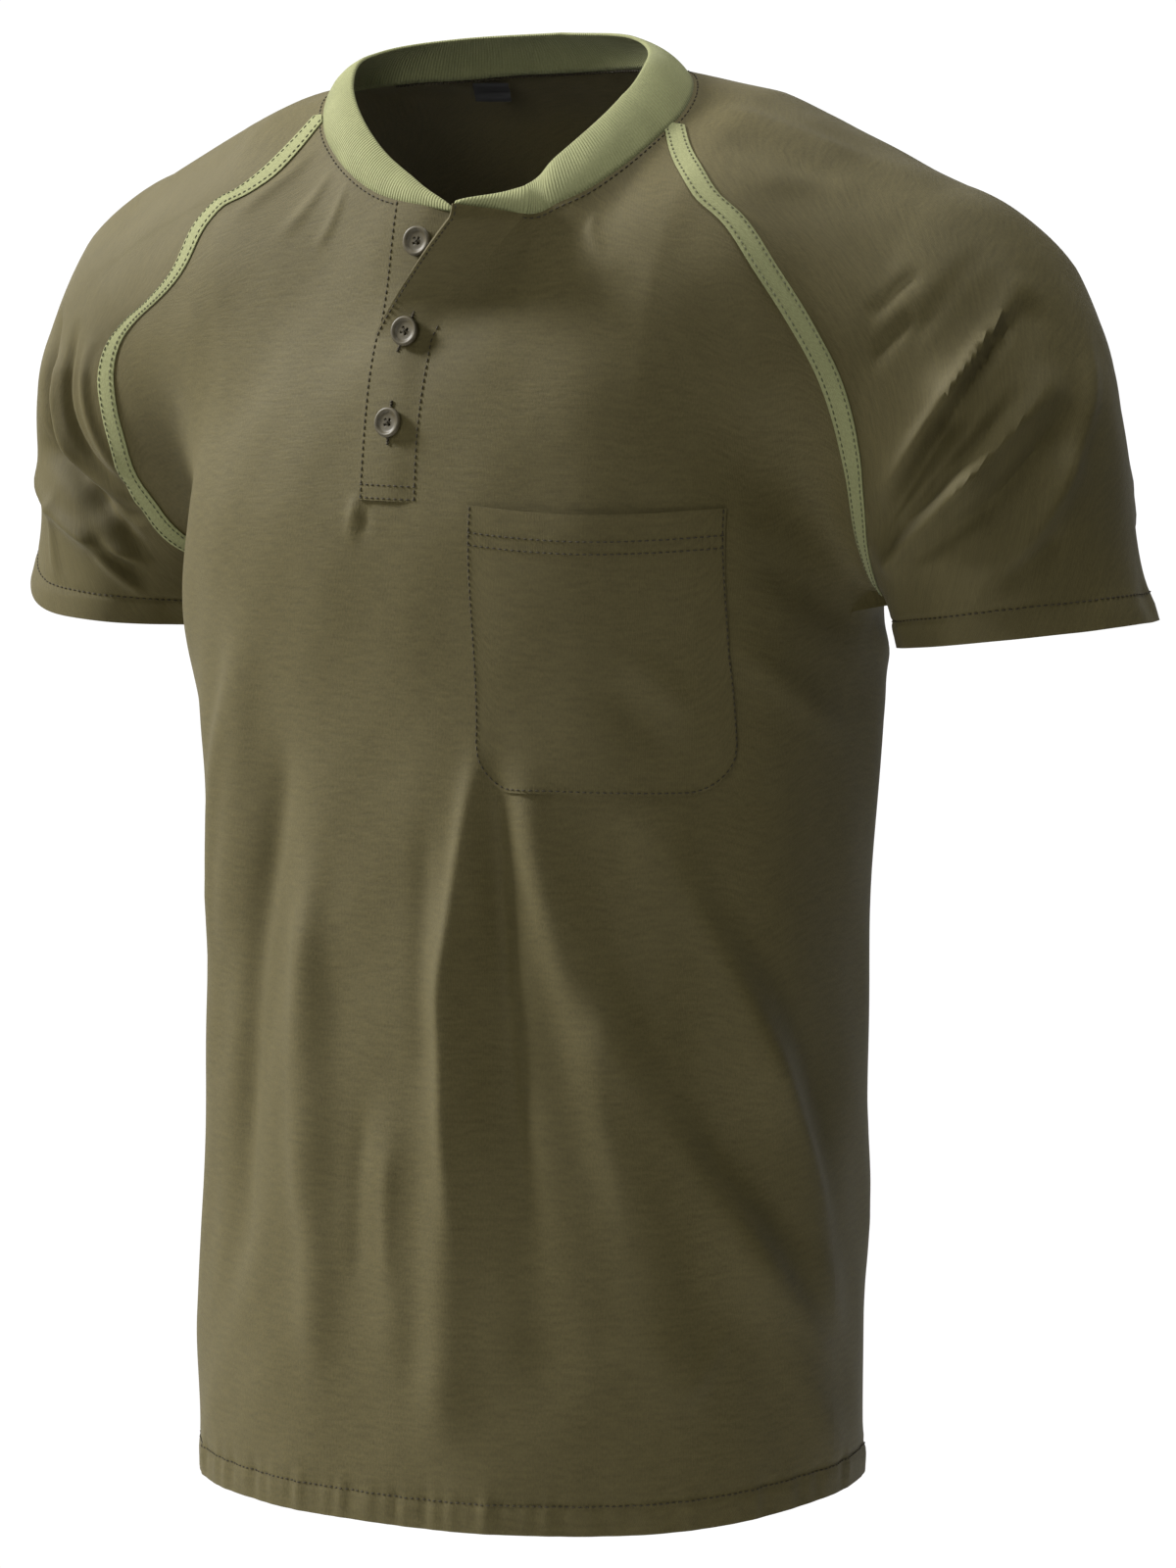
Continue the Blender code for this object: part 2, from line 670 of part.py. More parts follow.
def back_grid():
    """Rows from hem to neck, columns from the wearer's left to the right."""
    start = np.vstack([side_seam(1), raglan_back(1)[1:]])
    end = np.vstack([side_seam(-1), raglan_back(-1)[1:]])
    turn = np.linspace(SIDE_SEAM_ANGLE, 360 - SIDE_SEAM_ANGLE, BACK_CELLS + 1)
    hem = trunk_point(turn, hem_height(turn))
    neck_turn = np.linspace(NECK_JOIN_BACK, 360 - NECK_JOIN_BACK, BACK_CELLS + 1)
    neck = neck_seam((neck_turn + 180) % 360 - 180)
    return relaxed(patch(hem, neck, start, end))


def sleeve_grid(side):
    """Rows from the armhole to the cuff, columns round the arm from under it by the front."""
    front = raglan_front(side)
    back = raglan_back(side)[::-1]
    join = NECK_JOIN_FRONT_LEFT if side > 0 else NECK_JOIN_FRONT_RIGHT
    neck = neck_seam(np.linspace(join, side * NECK_JOIN_BACK, NECK_TOP_CELLS + 1))
    cap = np.vstack([front, neck[1:], back[1:]])
    cuff = cuff_ring(side, len(cap))
    v = np.linspace(0, 1, SLEEVE_CELLS + 1)[:, None, None]
    around = np.linspace(0, 1, len(cap))[None, :, None]
    bow = 4 * v * (1 - v) * SLEEVE_BOW * np.sin(np.pi * around) ** 2 * np.array([side, 0.0, 1.0])
    grid = (1 - v) * cap[None] + v * cuff[None] + bow
    return evened(grid[:, :-1])


# ---------------------------------------------------------------- making objects


def material(name):
    made = bpy.data.materials.new(name)
    made.use_nodes = True
    shader = made.node_tree.nodes["Principled BSDF"]
    colour, rough = COLOURS[name]
    shader.inputs["Base Color"].default_value = (*colour, 1.0)
    shader.inputs["Roughness"].default_value = rough
    shader.inputs["Metallic"].default_value = 0.0
    return made


def add_object(name, mesh, slot):
    made = bpy.data.objects.new(name, mesh)
    made.data.materials.append(MATERIALS[slot])
    SHIRT.objects.link(made)
    return made


def grid_faces(rows, cols, left_out=(), wrap=False):
    """Faces of a grid of points, turned out when rows go up and columns go to the left."""
    faces = []
    for row in range(rows - 1):
        for col in range(cols if wrap else cols - 1):
            if (row, col) in left_out:
                continue
            low, high = row * cols, (row + 1) * cols
            right = (col + 1) % cols
            faces.append((low + col, low + right, high + right, high + col))
    return faces


def add_sheet(name, grid, slot, wall, left_out=(), wrap=False, flip=False):
    """A piece of cloth: an open grid of its outer points, thickened inward."""
    rows, cols = grid.shape[:2]
    faces = grid_faces(rows, cols, left_out, wrap)
    if flip:
        faces = [face[::-1] for face in faces]
    mesh = bpy.data.meshes.new(name)
    mesh.from_pydata([tuple(point) for point in grid.reshape(-1, 3)], [], faces)
    tidy = bmesh.new()
    tidy.from_mesh(mesh)
    bmesh.ops.delete(tidy, geom=[vert for vert in tidy.verts if not vert.link_faces], context="VERTS")
    tidy.to_mesh(mesh)
    tidy.free()
    made = add_object(name, mesh, slot)
    thick = made.modifiers.new("wall", "SOLIDIFY")
    thick.thickness = wall
    thick.offset = -1.0
    mesh.shade_smooth()
    return made


def square_way(edge, beside):
    """The way from an edge to the points beside it, square to the edge."""
    tangent = np.gradient(edge, axis=0)
    way = beside - edge
    way = way - (way * tangent).sum(-1, keepdims=True) / (tangent**2).sum(-1, keepdims=True) * tangent
    return unit(way)


def drawn_in(edge, inner, amount, wall=0.0, across=None):
    """An edge moved toward its own row, and further where a bend leans the two walls together."""
    way = square_way(edge, inner)
    moved = amount + UNDERARM_EASE * near_underarm(edge)
    if across is not None:
        other = square_way(edge, across)
        half_bend = 0.5 * np.arccos(np.clip(-(way * other).sum(-1), -1, 1))
        leans_in = ((way + other) * outward(edge)).sum(-1) < 0
        moved = moved + np.where(leans_in, wall * np.tan(np.minimum(half_bend, 1.0)), 0.0)
    return edge + moved[:, None] * way


# ---------------------------------------------------------------- the pieces

FOOT_ROW = SIDE_CELLS + SLIT_FOOT_CELL
FIRST_SLIT = HALF_FRONT_CELLS
LAST_SLIT = HALF_FRONT_CELLS + SLIT_CELLS
BAND_RIGHT = LAST_SLIT
BAND_BACK_RIGHT = BAND_RIGHT + NECK_TOP_CELLS
BAND_BACK_LEFT = BAND_BACK_RIGHT + BACK_CELLS
BAND_LEFT = BAND_BACK_LEFT + NECK_TOP_CELLS


def band_beside_piece(row, piece):
    """The part of a band row that stands over one piece's neck edge, in the piece's own order."""
    if piece == "front":
        right_half = row[:LAST_SLIT + 1][::-1][:LAST_SLIT]
        return np.vstack([right_half, row[BAND_LEFT:][:HALF_FRONT_CELLS + 1][::-1]])
    if piece == "back":
        return row[BAND_BACK_RIGHT:BAND_BACK_LEFT + 1][::-1]
    if piece == "sleeve_left":
        return row[BAND_BACK_LEFT:BAND_LEFT + 1][::-1]
    if piece == "sleeve_right":
        return row[BAND_RIGHT:BAND_BACK_RIGHT + 1]
    if piece == "placket_outer":
        return row[-SLIT_CELLS - 1:][::-1]
    return row[:SLIT_CELLS + 1][::-1]


def across_armhole(sleeve, by_front):
    """The sleeve's points beside its raglan seam, from above the underarm up to the neck."""
    steps = np.arange(1, RAGLAN_CELLS + 1)
    return sleeve[1, steps if by_front else -steps]


def make_body(name, grid, other, sleeves, band):
    """The front or the back, with its part of the seam gap taken off its sides and its neck edge."""
    is_front = name == "front"
    sides = (-1, 1) if is_front else (1, -1)
    start_across, end_across = (
        np.vstack([other[:SIDE_CELLS + 1, beside], across_armhole(sleeves[side], is_front)])
        for side, beside in zip(sides, (-2, 1))
    )
    cut = grid.copy()
    half = SEAM_GAP / 2
    cut[-1] = drawn_in(grid[-1], grid[-2], half, JERSEY_WALL, band_beside_piece(band[1], name))
    cut[:, 0] += drawn_in(grid[:, 0], grid[:, 1], half, JERSEY_WALL, start_across) - grid[:, 0]
    cut[:, -1] += drawn_in(grid[:, -1], grid[:, -2], half, JERSEY_WALL, end_across) - grid[:, -1]
    add_sheet(name, cut, "jersey", JERSEY_WALL, left_out=slit_left_out() if is_front else ())


def make_sleeve(name, side, front, back, sleeve, band):
    """A sleeve, with its part of the seam gap taken off its armhole edge."""
    inner_front = front[SIDE_CELLS:-1, -2 if side > 0 else 1]
    inner_back = back[SIDE_CELLS + 1:-1, 1 if side > 0 else -2][::-1]
    across = np.vstack([inner_front, band_beside_piece(band[1], name), inner_back])
    cut = sleeve.copy()
    edge, inner, across = (np.vstack([row, row[:1]]) for row in (sleeve[0], sleeve[1], across))
    cut[0] = drawn_in(edge, inner, SEAM_GAP / 2, JERSEY_WALL, across)[:-1]
    add_sheet(name, cut, "jersey", JERSEY_WALL, wrap=True, flip=side > 0)


def slit_left_out():
    rows = range(FOOT_ROW, SIDE_CELLS + RAGLAN_CELLS)
    return [(row, col) for row in rows for col in range(FIRST_SLIT, LAST_SLIT)]


def strip_points(grid, step):
    """The slit's own points, moved out by a step that ends at the wearer's left edge."""
    points = grid[FOOT_ROW:, FIRST_SLIT:LAST_SLIT + 1]
    share = np.array([1.0, 1.0, 1.0, 0.5, 0.0])
    return points + (step * share)[None, :, None] * outward(points)


def make_strip(name, strip, sewn, band):
    """A placket strip, with its foot, neck edge and sewn side drawn in."""
    cut = strip.copy()
    beside = 1 if sewn == 0 else -2
    cut[0] = drawn_in(strip[0], strip[1], SEAM_GAP)
    cut[-1] = drawn_in(strip[-1], strip[-2], SEAM_GAP, JERSEY_WALL, band_beside_piece(band[1], name))
    cut[:, sewn] += drawn_in(strip[:, sewn], strip[:, beside], SEAM_GAP) - strip[:, sewn]
    add_sheet(name, cut, "jersey", JERSEY_WALL)


def make_plackets(grid, band):
    over = swung_open(strip_points(grid, PLACKET_STEP))
    level = strip_points(grid, PLACKET_STEP)
    under = level - PLACKET_STEP * outward(level)
    under[:, -1] = under[:, -1] + 0.25 * (under[:, -2] - under[:, -1])
    make_strip("placket_outer", over, -1, band)
    make_strip("placket_under", under, 0, band)
    return over, under


def round_the_neck(front, back, sleeves, row):
    """The pieces' points in one row by the neck, from the right of the slit round to its left."""
    shoulder = slice(RAGLAN_CELLS, RAGLAN_CELLS + NECK_TOP_CELLS + 1)
    flap = swung_open(front[-1 - row, FIRST_SLIT:][::-1])
    return np.vstack([
        front[-1 - row, LAST_SLIT:0:-1],
        sleeves[-1][row, shoulder][:-1],
        back[-1 - row, ::-1][:-1],
        sleeves[1][row, shoulder][::-1][:-1],
        flap,
    ])


def band_grid(front, back, sleeves):
    """The neck band, from its end on the under placket round the back to its end on the flap."""
    seam = round_the_neck(front, back, sleeves, 0)
    still = seam.copy()
    still[BAND_LEFT:] = front[-1, FIRST_SLIT:][::-1]
    edge = band_edge(neck_angle(still)) + seam - still
    run = along(seam)
    from_end = np.clip(np.minimum(run, run[-1] - run) / BAND_END_LENGTH, 0, 1)
    height = BAND_END_HEIGHT + (1 - BAND_END_HEIGHT) * np.sin(0.5 * np.pi * from_end) ** BAND_END_CURVE
    rise = (edge - seam) * height[:, None]
    bulge = unit(np.cross(rise, np.gradient(seam, axis=0)))
    v = np.linspace(0, 1, BAND_ROWS + 1)[:, None, None]
    return seam + v * rise + (4 * v * (1 - v) * BAND_BULGE * height[:, None]) * bulge


def make_collar(front, back, sleeves, band):
    cut = band.copy()
    across = round_the_neck(front, back, sleeves, 1)
    cut[0] = drawn_in(band[0], band[1], SEAM_GAP, RIB_WALL, across)
    add_sheet("collar", cut, "rib", RIB_WALL, flip=True)


def make_tape(name, side, front, sleeve):
    """Tape over the front raglan seam, narrowing at its foot, laid on the two panels' points."""
    rows = []
    for step in range(1, RAGLAN_CELLS + 1):
        row = front[SIDE_CELLS + step]
        on_front = row[::-1] if side > 0 else row
        on_sleeve = sleeve[:, step]
        half = TAPE_WIDTH / 2 * min(TAPE_FOOT_SHARE * step, 1)
        rows.append([walk(on_front[:8], half), on_front[0], walk(on_sleeve[:8], half)])
    tape = np.array(rows)
    lift = TAPE_GAP + STRIP_WALL + 4 * UNDERARM_EASE * near_underarm(tape)
    lift[:2] += np.array([[TAPE_FOOT_LIFT], [TAPE_FOOT_LIFT / 2]])
    tape = tape + lift[..., None] * outward(tape)
    tape[-1] = drawn_in(tape[-1], tape[-2], 2.5 * SEAM_GAP)
    add_sheet(name, tape, "tape", STRIP_WALL, flip=side < 0)


def cloth_tree(grid, left_out=()):
    faces = grid_faces(grid.shape[0], grid.shape[1], left_out)
    return BVHTree.FromPolygons([Vector(point) for point in grid.reshape(-1, 3)], faces)


def laid(tree, x, z, facing, height):
    """The point a height above a panel, at x and z."""
    hit, normal, _, _ = tree.ray_cast(Vector((x, 0.4 * facing, z)), Vector((0, -facing, 0)))
    return hit, normal * (1 if normal.y * facing > 0 else -1) * height


def make_pocket(front):
    tree = cloth_tree(front, slit_left_out())
    shares = np.linspace(0, 1, POCKET_CELLS + 1)
    rounded = 0.35 * shares + 0.65 * 0.5 * (1 - np.cos(np.pi * shares))
    grid = np.zeros((POCKET_CELLS + 1, POCKET_CELLS + 1, 3))
    for col, u in enumerate(rounded):
        x = POCKET_LEFT_X + (POCKET_RIGHT_X - POCKET_LEFT_X) * u
        beyond = max(POCKET_CORNER_X - min(x - POCKET_LEFT_X, POCKET_RIGHT_X - x), 0) / POCKET_CORNER_X
        foot = POCKET_FOOT_Z + POCKET_CORNER_Z * (1 - math.sqrt(max(1 - beyond**2, 0)))
        top = POCKET_TOP_Z - POCKET_TOP_SAG * math.sin(math.pi * u)
        for row, v in enumerate(shares):
            z = foot + (top - foot) * v
            bag = POCKET_BAG * math.sin(math.pi * u) * math.sin(0.5 * math.pi * v)
            hit, out = laid(tree, x, z, -1, LAY_GAP + STRIP_WALL + bag)
            grid[row, col] = hit + out
    add_sheet("pocket", grid, "jersey", STRIP_WALL)


def make_label(back):
    tree = cloth_tree(back)
    grid = np.zeros((3, 4, 3))
    for col, x in enumerate(np.linspace(LABEL_X + LABEL_WIDTH / 2, LABEL_X - LABEL_WIDTH / 2, 4)):
        for row, z in enumerate(np.linspace(LABEL_TOP_Z - LABEL_HEIGHT, LABEL_TOP_Z, 3)):
            hit, out = laid(tree, x, z, 1, -(JERSEY_WALL + LAY_GAP))
            grid[row, col] = hit + out
    add_sheet("neck_label", grid, "label", LABEL_WALL)


def turned_button(name):
    """A button as a turned profile: flat back, round edge, raised rim and dished middle."""
    profile = (
        (0.0, BUTTON_THICKNESS - BUTTON_DISH),
        (BUTTON_RADIUS - 2 * BUTTON_RIM, BUTTON_THICKNESS - BUTTON_DISH),
        (BUTTON_RADIUS - 1.5 * BUTTON_RIM, BUTTON_THICKNESS),
        (BUTTON_RADIUS - 0.5 * BUTTON_RIM, BUTTON_THICKNESS),
        (BUTTON_RADIUS, BUTTON_THICKNESS * 0.60),
        (BUTTON_RADIUS * 0.85, 0.0),
        (0.0, 0.0),
    )
    mesh = bpy.data.meshes.new(name)
    edges = [(k, k + 1) for k in range(len(profile) - 1)]
    mesh.from_pydata([(radius, 0.0, height) for radius, height in profile], edges, [])
    made = add_object(name, mesh, "button")
    turn = made.modifiers.new("turn", "SCREW")
    turn.steps = BUTTON_SIDES
    turn.render_steps = BUTTON_SIDES
    turn.use_merge_vertices = True
    turn.merge_threshold = 0.00001
    return made


def hole_cutter(name):
    """Four thread holes as one cutter."""
    shape = bmesh.new()
    for turn in range(4):
        angle = math.radians(45 + 90 * turn)
        place = Matrix.Translation((
            BUTTON_HOLE_PLACE * math.cos(angle),
            BUTTON_HOLE_PLACE * math.sin(angle),
            BUTTON_THICKNESS / 2,
        ))
        bmesh.ops.create_cone(
            shape,
            cap_ends=True,
            segments=BUTTON_HOLE_SIDES,
            radius1=BUTTON_HOLE_RADIUS,
            radius2=BUTTON_HOLE_RADIUS,
            depth=3 * BUTTON_THICKNESS,
            matrix=place,
        )
    mesh = bpy.data.meshes.new(name)
    shape.to_mesh(mesh)
    shape.free()
    made = bpy.data.objects.new(name, mesh)
    made.hide_render = True
    made.display_type = "WIRE"
    CUTTERS.objects.link(made)
    return made


def make_button(number, strip, height):
    """A button standing off its strip, turned to face the way the cloth does there."""
    middle = SLIT_CELLS // 2
    row = int(np.argmin(np.abs(strip[:, middle, 2] - height)))
    row = min(max(row, 1), len(strip) - 2)
    low, high = strip[row - 1:row + 2:2, middle]
    share = (height - low[2]) / (high[2] - low[2])
    place = low + share * (high - low)
    across = strip[row, middle + 1] - strip[row, middle - 1]
    out = Vector(np.cross(across, high - low)).normalized()
    made = turned_button(f"button_{number}")
    cutter = hole_cutter(f"holes_{number}")
    turn = out.to_track_quat("Z", "Y").to_matrix().to_4x4()
    for piece in (made, cutter):
        piece.matrix_world = Matrix.Translation(Vector(place) + BUTTON_STAND * out) @ turn
    cut = made.modifiers.new("holes", "BOOLEAN")
    cut.operation = "DIFFERENCE"
    cut.object = cutter
    cut.solver = "EXACT"


def build_shirt():
    front, back = folded(front_grid()), folded(back_grid())
    sleeves = {side: folded(sleeve_grid(side)) for side in (1, -1)}
    band = band_grid(front, back, sleeves)
    flap = front.copy()
    flap[FOOT_ROW:, LAST_SLIT:] = swung_open(flap[FOOT_ROW:, LAST_SLIT:])
    make_body("front", flap, back, sleeves, band)
    make_body("back", back, flap, sleeves, band)
    for side, word in ((1, "left"), (-1, "right")):
        make_sleeve(f"sleeve_{word}", side, flap, back, sleeves[side], band)
        make_tape(f"tape_{word}", side, flap, sleeves[side])
    over, under = make_plackets(front, band)
    make_collar(front, back, sleeves, band)
    make_pocket(flap)
    make_label(back)
    for number, (strip, height) in enumerate(zip((under, over, over), BUTTON_HEIGHTS), start=1):
        make_button(number, strip, height)


for leftover in list(bpy.data.objects):
    bpy.data.objects.remove(leftover, do_unlink=True)

SHIRT = bpy.data.collections.new("raglan_henley_shirt")
CUTTERS = bpy.data.collections.new("cutters")
bpy.context.scene.collection.children.link(SHIRT)
bpy.context.scene.collection.children.link(CUTTERS)
MATERIALS = {name: material(name) for name in COLOURS}
build_shirt()
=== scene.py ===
"""Looks of the raglan henley T-shirt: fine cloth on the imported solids' form, with its light and camera."""

import math

import bmesh
import bpy
import numpy as np
from mathutils import Matrix, Vector
from mathutils.bvhtree import BVHTree


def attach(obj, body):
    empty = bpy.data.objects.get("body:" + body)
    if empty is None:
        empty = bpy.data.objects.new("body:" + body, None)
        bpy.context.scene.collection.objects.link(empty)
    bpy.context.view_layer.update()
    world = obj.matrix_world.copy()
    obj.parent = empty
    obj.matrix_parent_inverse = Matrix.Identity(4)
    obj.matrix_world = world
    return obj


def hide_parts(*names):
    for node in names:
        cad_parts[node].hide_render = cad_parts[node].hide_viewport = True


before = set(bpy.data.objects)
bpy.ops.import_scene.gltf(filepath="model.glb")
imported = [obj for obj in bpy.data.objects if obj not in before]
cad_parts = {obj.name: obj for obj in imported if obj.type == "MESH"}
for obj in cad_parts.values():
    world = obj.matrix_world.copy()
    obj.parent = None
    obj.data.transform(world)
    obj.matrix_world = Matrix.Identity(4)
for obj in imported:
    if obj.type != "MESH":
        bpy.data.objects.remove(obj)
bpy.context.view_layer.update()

# ---- driving sizes


def columns(names, table):
    """A table's columns by name."""
    return dict(zip(names, np.array(table, float).T))


# Lengths in the raglan, fold and crease tables are in tenths of a millimetre; others in metres.
# A negative rise is a trough.
TABLE_UNIT = 10000

# Height of the hem by angle from the front (+ is left).
HEM = columns(("angle", "z"), (
    (-180, -0.6935), (-120, -0.6950), (-60, -0.6970), (-27, -0.6975), (0, -0.6970), (34, -0.6952),
    (60, -0.6930), (90, -0.6885), (135, -0.6900), (180, -0.6935),
))

# Trunk sections: height, half width, front and back (Y), and squareness of the rounded outline.
TRUNK = columns(("z", "half_width", "front", "back", "squareness"), (
    (-0.760, 0.1745, -0.1195, 0.1520, 2.30), (-0.660, 0.1716, -0.1195, 0.1530, 2.30),
    (-0.550, 0.1690, -0.1095, 0.1470, 2.30), (-0.400, 0.1706, -0.0995, 0.1395, 2.30),
    (-0.300, 0.1766, -0.0985, 0.1420, 2.30), (-0.200, 0.1805, -0.1060, 0.1450, 2.30),
    (-0.130, 0.1635, -0.0944, 0.1407, 2.20), (-0.080, 0.1394, -0.0717, 0.1253, 2.10),
    (-0.030, 0.1024, -0.0381, 0.0987, 2.00), (0.000, 0.0601, -0.0128, 0.0721, 2.00),
    (0.015, 0.0232, 0.0030, 0.0501, 2.00),
))

# The arm's middle line on the wearer's left, with the radius of the cloth round it.
# Columns: x, y, z, radius.
ARM = np.array((
    (0.0249, 0.0194, -0.0747, 0.0971), (0.1118, 0.0345, -0.1095, 0.0930),
    (0.2139, 0.0474, -0.1244, 0.0620), (0.2437, 0.0431, -0.1669, 0.0499),
    (0.2690, 0.0567, -0.2879, 0.0660),
))
ARM_BLEND = 0.060
TRUNK_BLEND = 0.023

# Neck seam: a rounded outline seen from above, and its height by angle from the front (+ is left).
NECK_CENTRE = (0.0035, -0.0095)
NECK_HALF_WIDTH = 0.1005
NECK_HALF_DEPTH = 0.0665
NECK_PULL_REACH = 0.040
NECK = columns(("angle", "seam_z", "edge_z"), (
    (-180, 0.0070, 0.0255), (-140, 0.0030, 0.0222), (-100, -0.0025, 0.0157), (-80, -0.0063, 0.0103),
    (-65, -0.0160, 0.0010), (-50, -0.0280, -0.0100), (-35, -0.0402, -0.0232), (-20, -0.0507, -0.0360),
    (0, -0.0566, -0.0470), (12, -0.0588, -0.0440), (25, -0.0535, -0.0350), (40, -0.0478, -0.0270),
    (55, -0.0385, -0.0183), (70, -0.0283, -0.0092), (85, -0.0175, 0.0009), (100, -0.0075, 0.0115),
    (120, 0.0040, 0.0190), (140, 0.0090, 0.0240), (180, 0.0070, 0.0255),
))
BAND_EDGE_CENTRE = (0.002, -0.0130)
BAND_EDGE_HALF_WIDTH = 0.0810
BAND_EDGE_HALF_DEPTH = 0.0550
BAND_BULGE = 0.0025
BAND_END_LENGTH = 0.036
BAND_END_HEIGHT = 0.10
BAND_END_CURVE = 0.9

# By side, 1 is the wearer's left and -1 the right.
# Raglan seams, from the neck down to the underarm, seen from the front and from the back.
# Columns: x, z.
RAGLAN_FRONT = {}
RAGLAN_FRONT[1] = (
    (1145, -266), (1299, -372), (1415, -470), (1567, -575), (1764, -806), (1947, -1065), (2075, -1318),
    (2133, -1560), (2142, -1779), (2110, -2010),
)
RAGLAN_FRONT[-1] = (
    (-950, -270), (-1060, -420), (-1200, -515), (-1350, -570), (-1460, -660), (-1610, -900),
    (-1840, -1070), (-2060, -1180), (-2200, -1290), (-2265, -1430), (-2275, -1620), (-2260, -1810),
    (-2230, -2010),
)
RAGLAN_BACK = (
    (1220, -290), (1480, -620), (1720, -1000), (1920, -1400), (2040, -1800), (2080, -2120),
)
NECK_JOIN_FRONT = {1: 86, -1: -67}
NECK_JOIN_BACK = 118
UNDERARM_X = 0.196
UNDERARM_Y = 0.045
UNDERARM_FRONT_Y = -0.012
SIDE_SEAM_ANGLE = 92

# Cuffs: where the sleeve ends at the middle of the arm, its rise outward, and its outer side's lift.
# Columns: z, rise, outer lift.
CUFFS = {1: (-0.2600, 0.13, 0.00), -1: (-0.2755, 0.06, 0.42)}
CUFF_MIDDLE = (0.2660, 0.0530)

# How far the lines from the armhole to the cuff bow out over the shoulder before they settle.
SLEEVE_BOW = 0.052

# Placket: a slit down the centre front and the two strips that fill it.
PLACKET_HALF = 0.017
PLACKET_FOOT = -0.1975
PLACKET_STEP = 0.0016

# The undone top of the placket: it swings to the wearer's left and rolls forward.
FLAP_FOOT = -0.120
FLAP_HEAD = -0.060
FLAP_CURVE = 1.3
FLAP_SHIFT = 0.044
FLAP_REACH = 0.102
FLAP_HINGE = 0.035
FLAP_CURL = 0.012
FLAP_LIFT = 0.030
FLAP_ROLL = 1.5

# Pocket on the wearer's left chest: its four sides seen from the front.
POCKET_LEFT_X = 0.0455
POCKET_RIGHT_X = 0.1580
POCKET_TOP_Z = -0.1975
POCKET_FOOT_Z = -0.3360
POCKET_TOP_SAG = 0.0030
POCKET_CORNER_X = 0.018
POCKET_CORNER_Z = 0.024
POCKET_BAG = 0.0020
POCKET_LIFT = 0.0011

TAPE_WIDTH = 0.0128
TAPE_START = 4
TAPE_LIFT = (0.00083, 0.0011, 0.0011, 0.0011, 0.0011, 0.0011, 0.00083)

BUTTON_HEIGHTS = (-0.0735, -0.1163, -0.1598)
BUTTON_RADIUS = 0.0074
BUTTON_THICKNESS = 0.0026
BUTTON_STAND = 0.0008
# From the foot up round the rim to the middle: shares of the radius and of the thickness.
BUTTON_PROFILE = (
    (0.80, 0), (0.93, 3 / 26), (0.99, 9 / 26), (1, 0.55), (0.985, 0.78), (0.94, 0.94), (0.86, 1),
    (0.78, 0.96), (0.71, 0.80), (0.66, 0.66), (0.55, 0.60), (0.35, 0.57), (0.12, 0.56),
)
# The four holes, and the crossed thread through them.
HOLE_PLACE = 0.0017
HOLE_RADIUS = 0.00075
CROSS_REACH = 0.0012
CROSS_RISE = 0.00035
CROSS_SINK = 0.0002
BUTTONHOLE = 0.0216

LABEL_X = -0.048
LABEL_WIDTH = 0.015
LABEL_HEIGHT = 0.009
LABEL_TOP_Z = 0.0020
LABEL_GAP = 0.0012
LABEL_LEAN = 0.0030
LABEL_SWAY = 0.0012

# Largest folds: a line on the trunk by angle from the front (degrees, + is left) and height.
# Columns: angle 1, z 1, angle 2, z 2, width, rise.
TRUNK_FOLDS = (
    (21, -3450, 15, -4300, 130, 43), (15, -4300, 16, -6200, 150, 51), (26, -3500, 26, -4800, 140, -43),
    (26, -4800, 36, -6000, 170, -43), (33, -3500, 48, -4500, 140, 36), (58, -3650, 74, -4650, 160, 58),
    (74, -4650, 90, -5800, 180, 65), (54, -4700, 72, -5650, 150, 58), (72, -5650, 90, -6500, 160, 51),
    (48, -4600, 58, -6100, 150, 51), (64, -4000, 66, -5200, 150, -43),
    (-47, -3000, -53, -4000, 150, 43), (-36, -3500, -44, -5600, 180, -51),
    (-25, -4300, -17, -6000, 150, 51), (0, -5200, 4, -6000, 140, 29), (-60, -3300, -66, -6200, 180, 43),
    (-78, -4200, -82, -6600, 180, 51), (110, -3000, 118, -5600, 220, 58),
    (132, -3500, 128, -6400, 220, -58), (150, -3000, 146, -6000, 220, 58),
    (172, -4200, 176, -6800, 240, 58), (-112, -3000, -120, -6000, 220, 58),
    (-134, -3400, -130, -6200, 220, -58), (-154, -3200, -150, -6600, 240, 58),
    (165, -1800, 150, -2600, 200, 36), (-165, -1800, -150, -2600, 200, 36),
)

# Sleeve folds: lines near the arm, from the underarm out, by place on the wearer's left or right.
# Columns: x 1, y 1, z 1, x 2, y 2, z 2, width, rise.
SLEEVE_FOLDS = (
    (2800, 160, -940, 2650, -220, -1390, 100, 30), (2650, -220, -1390, 2320, -250, -1870, 100, 30),
    (2820, 160, -1060, 2670, -220, -1560, 90, -30), (2670, -220, -1560, 2290, -190, -2080, 90, -35),
    (2990, 90, -1390, 2720, -190, -1810, 100, 35), (2720, -190, -1810, 2260, -100, -2210, 90, 35),
    (3040, 130, -1600, 2830, -110, -1960, 100, -30), (3060, 140, -1800, 2760, -80, -2330, 110, 30),
    (2450, 980, -2050, 2900, 850, -1500, 140, -35), (2400, 1000, -2280, 2920, 930, -1900, 130, 35),
    (-2760, -110, -1270, -2740, -170, -1880, 100, -35),
    (-2740, -170, -1880, -2250, -100, -2200, 100, -35),
    (-2600, -220, -1500, -2600, -220, -1870, 90, 25),
    (-2840, -100, -1880, -2480, -160, -2170, 100, -35), (-2480, -160, -2170, -2220, 0, -2370, 100, -30),
    (-2970, 30, -2070, -2540, -120, -2330, 90, 30), (-2450, 980, -2050, -2900, 850, -1500, 140, -35),
    (-2400, 1000, -2280, -2920, 930, -1900, 130, 35),
)

